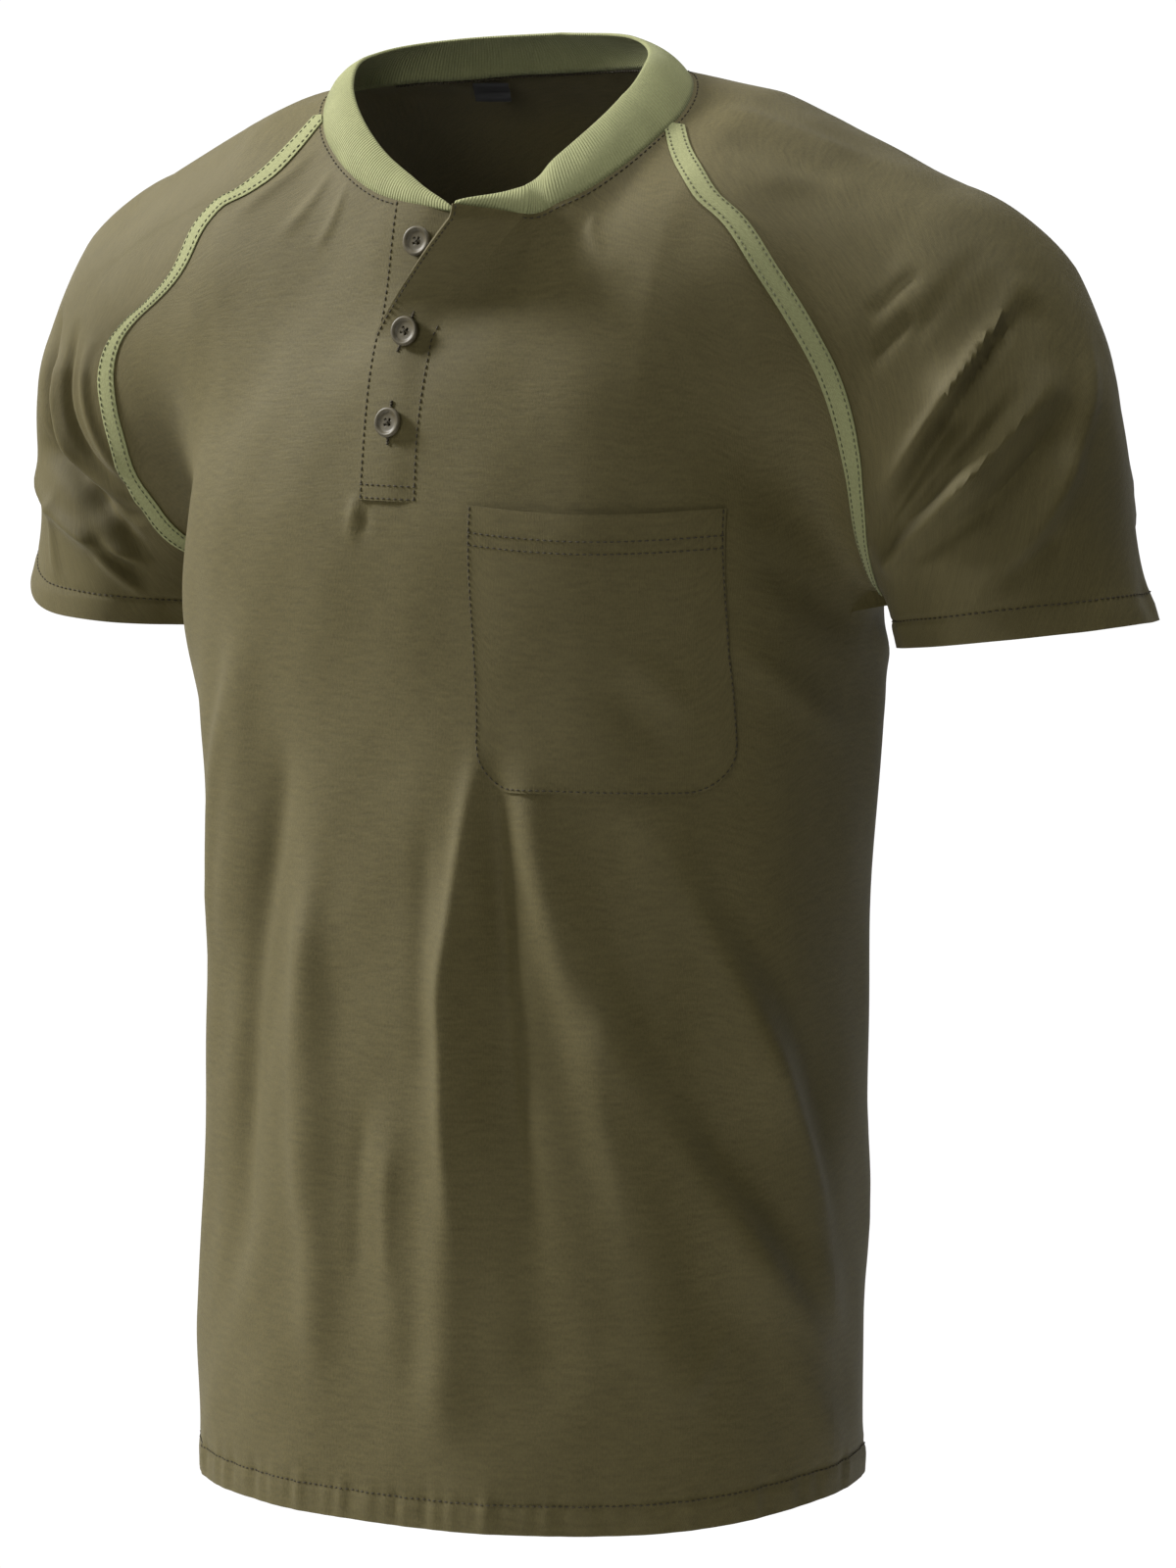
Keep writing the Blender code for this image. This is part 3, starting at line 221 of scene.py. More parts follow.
# Mesh counts: cells along each seam, shared by the pieces on both of its sides.
SIDE_CELLS = 144
RAGLAN_CELLS = 64
SLIT_FOOT_CELL = 9
HALF_FRONT_CELLS = 84
SLIT_CELLS = 12
BACK_CELLS = 104
NECK_TOP_CELLS = 12
SLEEVE_CELLS = 88
BAND_ROWS = 10
POCKET_CELLS = 48

# Thickness of the cloth, and the angle from which an edge isn't shaded smooth.
WALL = 0.0009
RIB_WALL = 0.0020
PLACKET_WALL = 0.0012
TAPE_WALL = 0.0006
POCKET_WALL = 0.0008
LABEL_WALL = 0.0005
SHARP_DEGREES = 55

# Stitch rows: how far in from a seam, an edge, the pocket's top and the placket's foot.
SEAM_INSET = 0.0022
EDGE_INSET = 0.0016
POCKET_HEM_ROWS = (0.0130, 0.0190)
PLACKET_FOOT_ROWS = (0.0012, 0.0075)
SERGING_SINK = 0.0006
# Above this height the outer strip rolls over, and the stitch row beside its fold is left out.
ROLLED_ABOVE = -0.112

# ---- curves and tables


def smooth_curve(places, values, at):
    """A smooth curve through the values, read at some places."""
    slopes = np.gradient(values, places)
    cell = np.clip(np.searchsorted(places, at) - 1, 0, len(places) - 2)
    span = places[cell + 1] - places[cell]
    t = np.clip((at - places[cell]) / span, 0, 1)
    start = (2 * t**3 - 3 * t**2 + 1) * values[cell] + (t**3 - 2 * t**2 + t) * span * slopes[cell]
    end = (3 * t**2 - 2 * t**3) * values[cell + 1] + (t**3 - t**2) * span * slopes[cell + 1]
    return start + end


def smooth_min(a, b, blend):
    """The smaller of two distances, with the corner between them rounded."""
    share = np.clip(0.5 + 0.5 * (b - a) / blend, 0, 1)
    return b + (a - b) * share - blend * share * (1 - share)


def along(points):
    """The distance run along a line of points, at each of them."""
    return np.concatenate([[0], np.cumsum(np.linalg.norm(np.diff(points, axis=0), axis=1))])


def even_points(points, count):
    """Count points spaced evenly on a smooth line through the given ones."""
    run = along(points)
    fine = np.linspace(0, run[-1], 400)
    line = np.stack([smooth_curve(run, points[:, k], fine) for k in range(3)], axis=1)
    return evenly(line, count)


def walk(line, distance):
    """The point, or points, at a distance along a line of points."""
    run = along(line)
    return np.array([np.interp(distance, run, line[:, k]) for k in range(3)])


def evenly(line, count):
    """Count points spaced evenly on a line of points."""
    return walk(line, np.linspace(0, along(line)[-1], count)).T


def unit(vectors):
    return vectors / np.maximum(np.linalg.norm(vectors, axis=-1, keepdims=True), 1e-12)


# ---- the form under the cloth


def trunk_value(name, z):
    heights = TRUNK["z"]
    return smooth_curve(heights, TRUNK[name], np.clip(z, heights[0], heights[-1]))


def hem_height(degrees):
    turn = (np.asarray(degrees, float) + 180) % 360 - 180
    return smooth_curve(HEM["angle"], HEM["z"], turn)


def trunk_middle(z):
    return 0.5 * (trunk_value("front", z) + trunk_value("back", z))


def trunk_distance(points):
    x, y, z = points[..., 0], points[..., 1], points[..., 2]
    half_depth = 0.5 * (trunk_value("back", z) - trunk_value("front", z))
    power = trunk_value("squareness", z)
    across = np.abs(x) + 1e-6
    deep = np.abs(y - trunk_middle(z)) + 1e-6
    wide = (across / trunk_value("half_width", z)) ** power
    ratio = (wide + (deep / half_depth) ** power) ** (1 / power)
    return np.hypot(across, deep) * (1 - 1 / ratio) + np.maximum(z - TRUNK["z"][-1], 0)


def arm_distance(points):
    mirrored = points * np.where(points[..., :1] < 0, (-1.0, 1.0, 1.0), (1.0, 1.0, 1.0))
    nearest = None
    for (*start, r_start), (*end, r_end) in zip(ARM, ARM[1:]):
        line = np.subtract(end, start)
        share = np.clip((mirrored - start) @ line / (line @ line), 0, 1)
        gap = np.linalg.norm(mirrored - start - share[..., None] * line, axis=-1)
        gap = gap - (r_start + (r_end - r_start) * share)
        nearest = gap if nearest is None else smooth_min(nearest, gap, ARM_BLEND)
    return nearest


def figure_distance(points):
    return smooth_min(trunk_distance(points), arm_distance(points), TRUNK_BLEND)


def neck_ring(degrees, centre, half_width, half_depth, height):
    angle = np.radians(degrees)
    x = centre[0] + half_width * np.sin(angle)
    y = centre[1] - half_depth * np.cos(angle)
    z = smooth_curve(NECK["angle"], NECK[height], degrees)
    return np.stack([x, y, z], axis=-1)


def neck_seam(degrees):
    """Points of the neck seam by angle from the front."""
    return neck_ring(degrees, NECK_CENTRE, NECK_HALF_WIDTH, NECK_HALF_DEPTH, "seam_z")


def band_edge(degrees):
    """Points of the neck band's free edge by angle from the front."""
    return neck_ring(degrees, BAND_EDGE_CENTRE, BAND_EDGE_HALF_WIDTH, BAND_EDGE_HALF_DEPTH, "edge_z")


def neck_angle(points):
    """The angle from the front, on the neck seam, that points stand beside."""
    across = (points[..., 0] - NECK_CENTRE[0]) / NECK_HALF_WIDTH
    deep = (NECK_CENTRE[1] - points[..., 1]) / NECK_HALF_DEPTH
    return np.degrees(np.arctan2(across, deep))


RING_ANGLES = np.linspace(-180, 180, 361)
RING_PULL = figure_distance(neck_seam(RING_ANGLES))


def cloth_distance(points):
    """Distance from the cloth's outer face: the figure, drawn to the neck seam near the neck."""
    angle = neck_angle(points)
    reach = np.linalg.norm(points - neck_seam(angle), axis=-1) / NECK_PULL_REACH
    pull = np.interp(angle, RING_ANGLES, RING_PULL) * np.exp(-reach**2)
    return figure_distance(points) - pull


def slope(points):
    """How the distance grows along X, Y and Z."""
    step = 0.0005
    grown = []
    for axis in np.eye(3):
        grown.append(cloth_distance(points + step * axis) - cloth_distance(points - step * axis))
    return np.stack(grown, axis=-1) / (2 * step)


def outward(points):
    return unit(slope(points))


def settle(points, rounds=6):
    """Points moved onto the cloth's outer face by the shortest way."""
    for _ in range(rounds):
        steep = slope(points)
        step = cloth_distance(points) / np.maximum((steep**2).sum(-1), 1e-6)
        points = points - np.clip(step, -0.02, 0.02)[..., None] * steep
    return points


def first_crossing(origins, directions, reach, outside):
    """Where lines first cross the outer face, from outside in or from inside out."""
    sign = 1.0 if outside else -1.0
    origins, directions = np.broadcast_arrays(origins, directions)
    steps = np.linspace(0, reach, 120)
    samples = origins[..., None, :] + steps[:, None] * directions[..., None, :]
    crossed = sign * cloth_distance(samples) < 0
    first = np.maximum(crossed.argmax(axis=-1), 1)
    low, high = steps[first - 1], steps[first]
    for _ in range(24):
        middle = 0.5 * (low + high)
        past = sign * cloth_distance(origins + middle[..., None] * directions) < 0
        high = np.where(past, middle, high)
        low = np.where(past, low, middle)
    return origins + high[..., None] * directions


def seen_point(x, z, facing):
    """The point of the outer face at x and z, seen from the front (-1) or the back (+1)."""
    x, z = np.broadcast_arrays(np.asarray(x, float), np.asarray(z, float))
    origins = np.stack([x, np.full(x.shape, 0.30 * facing), z], axis=-1)
    return first_crossing(origins, np.array([0.0, -facing, 0.0]), 0.60, True)


def trunk_point(degrees, z):
    """The point of the trunk at an angle from the front, at height z."""
    angle, z = np.broadcast_arrays(np.radians(np.asarray(degrees, float)), np.asarray(z, float))
    origins = np.stack([np.zeros(z.shape), trunk_middle(z), z], axis=-1)
    ways = np.stack([np.sin(angle), -np.cos(angle), np.zeros(z.shape)], axis=-1)
    return first_crossing(origins, ways, 0.30, False)


# ---- folds and the open flap


FOLD_UNITS = (1, TABLE_UNIT, 1, TABLE_UNIT, TABLE_UNIT, TABLE_UNIT)
CREASE_UNITS = (1, TABLE_UNIT, 1, TABLE_UNIT, 1, TABLE_UNIT, TABLE_UNIT, TABLE_UNIT)
# The trunk's mean radius, which turns an angle into a run round it.
GIRTH = 0.155
# Folds and creases of the trunk fade over these heights and half widths, but not below the third.
FOLDS_TOP, FOLDS_SIDE, FOLDS_WHOLE = -0.150, 0.205, -0.32
CREASES_SIDE, CREASES_WHOLE = 0.200, -0.30


def trunk_angle(points):
    """The angle from the front, round the trunk's middle, of points."""
    return np.degrees(np.arctan2(points[..., 0], -(points[..., 1] - trunk_middle(points[..., 2]))))


def trunk_folds(points):
    """Soft humps across lines on the trunk, fading past their ends."""
    angle = trunk_angle(points)
    total = np.zeros(angle.shape)
    for angle_1, z_1, angle_2, z_2, width, rise in np.array(TRUNK_FOLDS) / FOLD_UNITS:
        turn = (angle - angle_1 + 180) % 360 - 180
        place = np.stack([np.radians(turn) * GIRTH, points[..., 2] - z_1], axis=-1)
        line = np.array([math.radians(angle_2 - angle_1) * GIRTH, z_2 - z_1])
        length = np.linalg.norm(line)
        way = line / length
        run = place @ way
        gap = place @ np.array([-way[1], way[0]])
        past = np.maximum(np.maximum(-run, run - length), 0)
        total += rise * np.exp(-((gap / width) ** 2) - (past / (2 * width)) ** 2)
    below = 1 / (1 + np.exp((points[..., 2] - FOLDS_TOP) / 0.015))
    beside = 1 / (1 + np.exp((np.abs(points[..., 0]) - FOLDS_SIDE) / 0.006))
    return total * np.where(points[..., 2] > FOLDS_WHOLE, np.minimum(below, beside), 1.0)


def sleeve_folds(points):
    total = np.zeros(points.shape[:-1])
    for row in np.array(SLEEVE_FOLDS) / TABLE_UNIT:
        start, width, rise = row[:3], row[6], row[7]
        line = row[3:6] - start
        length = np.linalg.norm(line)
        way = line / length
        run = (points - start) @ way
        gap = np.linalg.norm(points - start - np.clip(run, 0, length)[..., None] * way, axis=-1)
        total += rise * np.exp(-((gap / width) ** 2))
    return total


def folded(points):
    """Points of the smooth form with the cloth's folds raised or sunk."""
    return points + (trunk_folds(points) + sleeve_folds(points))[..., None] * outward(points)


def swung_open(points):
    """Points of the placket's left side, swung to the left and rolled forward above the buttons."""
    x, z = points[..., 0], points[..., 2]
    share = np.clip((z - FLAP_FOOT) / (FLAP_HEAD - FLAP_FOOT), 0, 1) ** FLAP_CURVE
    fade = np.clip((FLAP_REACH - x) / (FLAP_REACH - PLACKET_HALF), 0, 1)
    roll = np.clip((FLAP_HINGE - x) / (FLAP_HINGE + PLACKET_HALF), 0, 1)
    moved = points.copy()
    moved[..., 0] += share * (FLAP_SHIFT * fade + FLAP_CURL * roll**2)
    moved[..., 1] -= share * FLAP_LIFT * roll**FLAP_ROLL
    return moved


# ---- seams


def underarm(side):
    start = np.array([side * UNDERARM_X, UNDERARM_Y, -0.45])
    return first_crossing(start, np.array([0.0, 0.0, 1.0]), 0.30, True)


def side_seam(side):
    """From the hem up to the underarm."""
    heights = np.linspace(hem_height(side * SIDE_SEAM_ANGLE), underarm(side)[2], SIDE_CELLS + 1)
    seam = trunk_point(side * SIDE_SEAM_ANGLE, heights[:-1])
    return np.vstack([seam, underarm(side)])


def settled_seam(guide):
    """A raglan seam of even points near a guide, on the outer face."""
    seam = even_points(guide, RAGLAN_CELLS + 1)
    seam[1:-1] = settle(seam[1:-1])
    return seam


def raglan_front(side):
    """From the underarm up to the neck."""
    rows = np.array(RAGLAN_FRONT[side]) / TABLE_UNIT
    seen = seen_point(rows[:, 0], rows[:, 1], -1)[::-1]
    turn = 0.5 * (underarm(side) + seen[0])
    turn[1] = UNDERARM_FRONT_Y
    guide = np.vstack([underarm(side), settle(turn), seen, neck_seam(NECK_JOIN_FRONT[side])])
    return settled_seam(guide)


def raglan_back(side):
    """From the underarm up to the neck."""
    rows = np.array(RAGLAN_BACK) / TABLE_UNIT
    seen = seen_point(side * rows[:, 0], rows[:, 1], 1)[::-1]
    guide = np.vstack([underarm(side), seen, neck_seam(side * NECK_JOIN_BACK)])
    return settled_seam(guide)


def cuff_ring(side, count):
    """Round the cuff from its inner side, by the front, the outer side and the back."""
    height, rise, outer_lift = CUFFS[side]
    turn = np.radians(np.linspace(180, 540, 241))
    lift = rise * np.cos(turn) + outer_lift * np.maximum(np.cos(turn), 0) ** 3
    ways = np.stack([side * np.cos(turn), np.sin(turn), lift], axis=-1)
    middle = np.array([side * CUFF_MIDDLE[0], CUFF_MIDDLE[1], height])
    return evenly(first_crossing(middle, ways, 0.12, False), count)


# ---- grids of points for the panels


def patch(bottom, top, start, end):
    """Points spread between four sides: bottom and top rows, start and end columns."""
    rows, cols = len(start), len(bottom)
    v = np.linspace(0, 1, rows)[:, None, None]
    u = np.linspace(0, 1, cols)[None, :, None]
    ruled = (1 - v) * bottom[None] + v * top[None] + (1 - u) * start[:, None] + u * end[:, None]
    corners = (1 - v) * ((1 - u) * bottom[0] + u * bottom[-1]) + v * ((1 - u) * top[0] + u * top[-1])
    return ruled - corners


def relaxed(grid, rounds=10):
    """A grid evened out on the outer face, with its sides kept."""
    grid = grid.copy()
    grid[1:-1, 1:-1] = settle(grid[1:-1, 1:-1], 12)
    for _ in range(rounds):
        beside = 0.5 * (grid[1:-1, :-2] + grid[1:-1, 2:])
        between = 0.5 * (grid[:-2, 1:-1] + grid[2:, 1:-1])
        grid[1:-1, 1:-1] = settle(0.5 * (beside + between), 2)
    return grid


def evened(grid, rounds=3):
    """A tube's grid settled on the outer face, with its points evenly spaced along each column."""
    grid = grid.copy()
    grid[1:-1] = settle(grid[1:-1], 12)
    share = np.linspace(0, 1, len(grid))
    for _ in range(rounds):
        for col in range(grid.shape[1]):
            grid[:, col] = walk(grid[:, col], share * along(grid[:, col])[-1]).T
        grid[1:-1] = settle(grid[1:-1], 3)
    return grid


SLIT_COLUMNS = np.linspace(-PLACKET_HALF, PLACKET_HALF, SLIT_CELLS + 1)


def slit_heights():
    """Row heights at the centre front, from the hem to the neck, with one at the slit's foot."""
    low = np.linspace(hem_height(0), underarm(1)[2], SIDE_CELLS + 1)
    foot = np.linspace(low[-1], PLACKET_FOOT, SLIT_FOOT_CELL + 1)[1:]
    top = neck_seam(slit_neck_angles()[[0, -1]])[:, 2].mean()
    high = np.linspace(PLACKET_FOOT, top, RAGLAN_CELLS - SLIT_FOOT_CELL + 1)[1:]
    return np.concatenate([low, foot, high])


def slit_neck_angles():
    """Angles on the neck seam at the slit's columns."""
    angles = np.linspace(-40, 40, 801)
    return np.interp(SLIT_COLUMNS, neck_seam(angles)[:, 0], angles)


def slit_column(x, angle):
    """A straight column at x, from the hem to the neck seam."""
    return np.vstack([seen_point(x, slit_heights()[:-1], -1), neck_seam(angle)])


def front_grid():
    """Rows from hem to neck, columns from the wearer's right to the left, slit columns included."""
    angles = slit_neck_angles()
    slit = np.stack([slit_column(x, angle) for x, angle in zip(SLIT_COLUMNS, angles)], axis=1)
    halves = []
    for side, edge, edge_angle in ((-1, slit[:, 0], angles[0]), (1, slit[:, -1], angles[-1])):
        seam = np.vstack([side_seam(side), raglan_front(side)[1:]])
        hem_angles = np.linspace(trunk_angle(edge[0]), side * SIDE_SEAM_ANGLE, HALF_FRONT_CELLS + 1)
        hem = trunk_point(hem_angles, hem_height(hem_angles))
        neck = neck_seam(np.linspace(edge_angle, NECK_JOIN_FRONT[side], HALF_FRONT_CELLS + 1))
        halves.append(relaxed(patch(hem, neck, edge, seam)))
    return np.concatenate([halves[0][:, :0:-1], slit, halves[1][:, 1:]], axis=1)


def back_grid():
    """Rows from hem to neck, columns from the wearer's left to the right."""
    start = np.vstack([side_seam(1), raglan_back(1)[1:]])
    end = np.vstack([side_seam(-1), raglan_back(-1)[1:]])
    turn = np.linspace(SIDE_SEAM_ANGLE, 360 - SIDE_SEAM_ANGLE, BACK_CELLS + 1)
    hem = trunk_point(turn, hem_height(turn))
    neck_turn = np.linspace(NECK_JOIN_BACK, 360 - NECK_JOIN_BACK, BACK_CELLS + 1)
    neck = neck_seam((neck_turn + 180) % 360 - 180)
    return relaxed(patch(hem, neck, start, end))


def sleeve_grid(side):
    """Rows from the armhole to the cuff, columns round the arm from under it by the front."""
    front = raglan_front(side)
    back = raglan_back(side)[::-1]
    neck = neck_seam(np.linspace(NECK_JOIN_FRONT[side], side * NECK_JOIN_BACK, NECK_TOP_CELLS + 1))
    cap = np.vstack([front, neck[1:], back[1:]])
    cuff = cuff_ring(side, len(cap))
    v = np.linspace(0, 1, SLEEVE_CELLS + 1)[:, None, None]
    around = np.linspace(0, 1, len(cap))[None, :, None]
    bow = 4 * v * (1 - v) * SLEEVE_BOW * np.sin(np.pi * around) ** 2 * np.array([side, 0.0, 1.0])
    grid = (1 - v) * cap[None] + v * cuff[None] + bow
    return evened(grid[:, :-1])


# ---- fine creases

# Creases of the trunk: bent lines through three knots, placed one by one on the front, then the back.
# Columns: angle 1, z 1, angle 2, z 2, angle 3, z 3, width, rise.
TRUNK_CREASES = (
    (21.1, -3209, 14.7, -4368, 17.8, -5520, 60, 32), (23.4, -3278, 28, -4462, 34.4, -5634, 85, -36),
    (30.7, -3317, 41.2, -4380, 52, -5433, 100, 32), (44.2, -3447, 53.4, -4423, 68.1, -5357, 130, -36),
    (59.3, -3680, 74.3, -4568, 91.5, -5538, 70, 30), (66, -3780, 80.6, -4425, 93, -5156, 90, -20),
    (58, -4867, 72, -5548, 94.5, -6282, 80, 30), (64.7, -4921, 74.5, -5309, 88.4, -5718, 100, -24),
    (-48.8, -2864, -57, -3624, -60.8, -4381, 80, 26), (-34.8, -3318, -44, -4461, -43.9, -5598, 85, -32),
    (-23, -3681, -26.8, -4682, -20.5, -5659, 120, 26), (-7.1, -4950, -7.5, -5383, -6.1, -5813, 70, -15),
    (0.9, -5125, 0.4, -5462, 2.6, -5791, 50, 13), (8, -3488, 7.8, -4229, 10, -4964, 90, -17),
    (50.5, -2661, 55.6, -2809, 61, -2946, 60, 16), (48.1, -2780, 52.1, -2984, 58.7, -3111, 90, -20),
    (66.8, -2593, 76.8, -2847, 91.9, -3099, 80, 16), (70.6, -2172, 80.4, -2387, 96.1, -2605, 100, -16),
    (68, -5949, 64.8, -6130, 60.5, -6290, 45, 12), (47.7, -6072, 53.3, -6064, 58.8, -6036, 45, 10),
    (-9, -1965, -9.4, -2060, -10.4, -2150, 35, 20), (-5.8, -1990, -6, -2060, -6.4, -2130, 35, -12),
    (-44, -340, -47, -480, -52, -640, 45, 14), (-35, -420, -37, -560, -41, -720, 45, 12),
    (-28, -480, -29, -620, -32, -780, 40, 10), (40, -600, 44, -740, 50, -880, 50, 10),
    (112, -2900, 122, -4200, 116, -5600, 80, 30), (126, -3100, 136, -4500, 130, -6000, 95, -32),
    (148, -2800, 150, -4000, 144, -5200, 85, 26), (164, -4000, 170, -5200, 168, -6400, 100, -26),
    (178, -4200, 182, -5400, 179, -6600, 80, 26), (-166, -3600, -160, -5000, -163, -6200, 110, -24),
    (-146, -3000, -150, -4300, -144, -6000, 85, 30), (-124, -3300, -130, -4700, -126, -6100, 95, -30),
    (-104, -3000, -112, -4000, -108, -5400, 80, 26), (100, -2620, 116, -2850, 134, -3200, 75, 22),
    (-98, -2650, -112, -2820, -130, -3250, 80, 22), (158, -700, 150, -1200, 138, -1700, 90, 14),
    (-160, -750, -150, -1250, -140, -1650, 85, 14),
)

# Creases of the sleeves. Columns: x, y and z of the three knots, width, rise.
SLEEVE_CREASES = (
    (2797, 156, -941, 2651, -215, -1392, 2318, -246, -1873, 45, 30),
    (2819, 155, -978, 2668, -220, -1483, 2285, -191, -2027, 42, -34),
    (2810, -131, -1467, 2589, -241, -1764, 2269, -162, -2090, 38, 14),
    (2906, -23, -1400, 2676, -212, -1756, 2278, -152, -2123, 42, -24),
    (2987, 94, -1394, 2715, -188, -1812, 2191, -50, -2275, 44, 34),
    (3040, 134, -1542, 2828, -111, -1903, 2394, -145, -2202, 52, -30),
    (2999, 478, -1190, 3061, 142, -1802, 2760, -79, -2328, 60, 28),
    (3070, 165, -2052, 2966, 37, -2191, 2825, -53, -2318, 60, -20),
    (2432, -134, -833, 2347, -240, -946, 2246, -316, -1062, 35, -13),
    (2460, -224, -1041, 2367, -292, -1151, 2264, -334, -1268, 35, -15),
    (2626, 126, -746, 2558, -126, -950, 2458, -264, -1182, 42, -9),
    (1173, 28, -103, 1577, 57, -201, 1902, 194, -321, 100, 15),
    (1327, -168, -228, 1677, -111, -328, 1998, -49, -476, 110, -17),
    (1599, -291, -416, 1811, -144, -429, 2024, -4, -462, 90, 11),
    (-2764, -108, -1269, -2744, -165, -1875, -2202, -78, -2229, 48, -40),
    (-2640, -220, -1385, -2597, -221, -1868, -2191, -108, -2157, 42, 26),
    (-2490, -265, -1253, -2536, -257, -1742, -2201, -143, -2090, 40, -34),
    (-2380, -310, -1323, -2409, -284, -1705, -2224, -179, -2023, 38, 17),
    (-2844, -104, -1877, -2477, -159, -2174, -2179, 15, -2396, 52, -40),
    (-2973, 33, -2068, -2538, -117, -2333, -2193, 32, -2458, 42, 28),
    (-2531, -127, -2292, -2368, -65, -2438, -2208, 51, -2541, 40, -24),
    (-2500, -102, -2393, -2354, -40, -2519, -2219, 66, -2623, 38, 18),
    (-2751, -119, -2100, -2827, -50, -2336, -2788, -62, -2562, 42, 11),
    (2320, 980, -2220, 2580, 980, -1800, 2850, 780, -1200, 50, 30),
    (2300, 1000, -2320, 2700, 1020, -2050, 3030, 820, -1600, 55, -30),
    (2450, 1050, -2450, 2800, 1040, -2250, 3120, 820, -1900, 50, 22),
    (-2320, 980, -2220, -2620, 970, -1840, -2880, 760, -1300, 50, -30),
    (-2300, 1000, -2340, -2680, 1030, -2080, -3000, 840, -1700, 55, 30),
    (-2480, 1060, -2500, -2840, 1030, -2280, -3100, 840, -2000, 48, -20),
)

# Beside the wearer's right underarm the cloth is pushed forward and out from here.
CHEST_SAG = (-0.188, 0.000, -0.272)
CHEST_SAG_REACH = 0.052
CHEST_SAG_SHIFT = (-0.0125, -0.0085, 0.0)

CREASE_STEPS = 12
CREASE_STRENGTH = 1.45
CREASE_SHARPNESS = 0.85
UNEVEN_RISE = 0.0006

# The folded hem, and the puckers in it. Columns of the waves: length, phase.
HEM_DEPTH = 0.0145
HEM_GROOVE = 0.0008
HEM_GROOVE_WIDTH = 0.0016
HEM_FOLD_LIFT = 0.0004
PUCKER_WAVES = ((0.0113, 0.4), (0.0171, 1.9), (0.0262, 4.1))
PUCKER_RISE = 0.0013
PUCKER_PLACE = 0.010
PUCKER_SPREAD = 0.009


def crease(places, knots, width, rise):
    """A soft ridge or trough along a bent line through three knots, fading at both ends."""
    share = np.linspace(0, 1, CREASE_STEPS + 1)[:, None]
    middle = 2 * knots[1] - 0.5 * (knots[0] + knots[2])
    line = (1 - share) ** 2 * knots[0] + 2 * share * (1 - share) * middle + share**2 * knots[2]
    nearest = np.full(places.shape[:-1], 9.0)
    along_line = np.zeros(places.shape[:-1])
    for number, (start, end) in enumerate(zip(line, line[1:])):
        step = end - start
        run = np.clip((places - start) @ step / (step @ step), 0, 1)
        gap = np.linalg.norm(places - start - run[..., None] * step, axis=-1)
        closer = gap < nearest
        nearest = np.where(closer, gap, nearest)
        along_line = np.where(closer, (number + run) / CREASE_STEPS, along_line)
    fade = np.clip(5 * along_line * (1 - along_line) + 0.15, 0, 1)
    return rise * fade * np.exp(-((nearest / width) ** 2))


def trunk_creases(points):
    angle = trunk_angle(points)
    total = np.zeros(angle.shape)
    for row in np.array(TRUNK_CREASES) / CREASE_UNITS:
        knots = row[:6].reshape(3, 2)
        turn = (angle - knots[1, 0] + 180) % 360 - 180
        places = np.stack([np.radians(turn) * GIRTH, points[..., 2]], axis=-1)
        bent = np.stack([np.radians(knots[:, 0] - knots[1, 0]) * GIRTH, knots[:, 1]], axis=-1)
        total += crease(places, bent, *row[6:])
    beside = 0.5 - 0.5 * np.tanh((np.abs(points[..., 0]) - CREASES_SIDE) / 0.008)
    return total * np.where(points[..., 2] > CREASES_WHOLE, beside, 1.0)


def sleeve_creases(points):
    total = np.zeros(points.shape[:-1])
    for row in np.array(SLEEVE_CREASES) / TABLE_UNIT:
        total += crease(points, row[:9].reshape(3, 3), CREASE_SHARPNESS * row[9], row[10])
    return total


def undulation(points):
    """Slight unevenness of hanging jersey."""
    x, y, z = points[..., 0], points[..., 1], points[..., 2]
    wave = np.sin(61 * x + 23 * z + 1.3) * np.sin(47 * y - 19 * z + 0.4)
    wave += 0.6 * np.sin(113 * x - 31 * z + 2.1) * np.sin(97 * y + 41 * z)
    return UNEVEN_RISE * wave


def hem_relief(points, from_hem):
    """The folded hem: slightly proud, a groove along its stitches, and small puckers between."""
    run = np.arctan2(points[..., 0], points[..., 1]) * GIRTH
    pucker = sum(np.sin(2 * np.pi * run / wave + phase) for wave, phase in PUCKER_WAVES) / 3
    from_row = (from_hem - HEM_DEPTH) / HEM_GROOVE_WIDTH
    groove = np.exp(-(from_row**2))
    inside = 0.5 - 0.5 * np.tanh(from_row)
    near = np.exp(-(((from_hem - PUCKER_PLACE) / PUCKER_SPREAD) ** 2))
    return HEM_FOLD_LIFT * inside - HEM_GROOVE * groove + PUCKER_RISE * pucker * near


def creased(points, from_hem=None):
    height = trunk_creases(points) + CREASE_STRENGTH * sleeve_creases(points) + undulation(points)
    if from_hem is not None:
        height = height + hem_relief(points, from_hem)
    near = np.linalg.norm(points - np.array(CHEST_SAG), axis=-1) / CHEST_SAG_REACH
    sag = np.exp(-(near**2))[..., None] * np.array(CHEST_SAG_SHIFT)
    return folded(points) + height[..., None] * outward(points) + sag


def arc(grid, axis):
    """Distance run along the rows or the columns of a grid."""
    steps = np.linalg.norm(np.diff(grid, axis=axis), axis=-1)
    pad = [(0, 0), (0, 0)]
    pad[axis] = (1, 0)
    return np.cumsum(np.pad(steps, pad), axis=axis)


# ---- materials

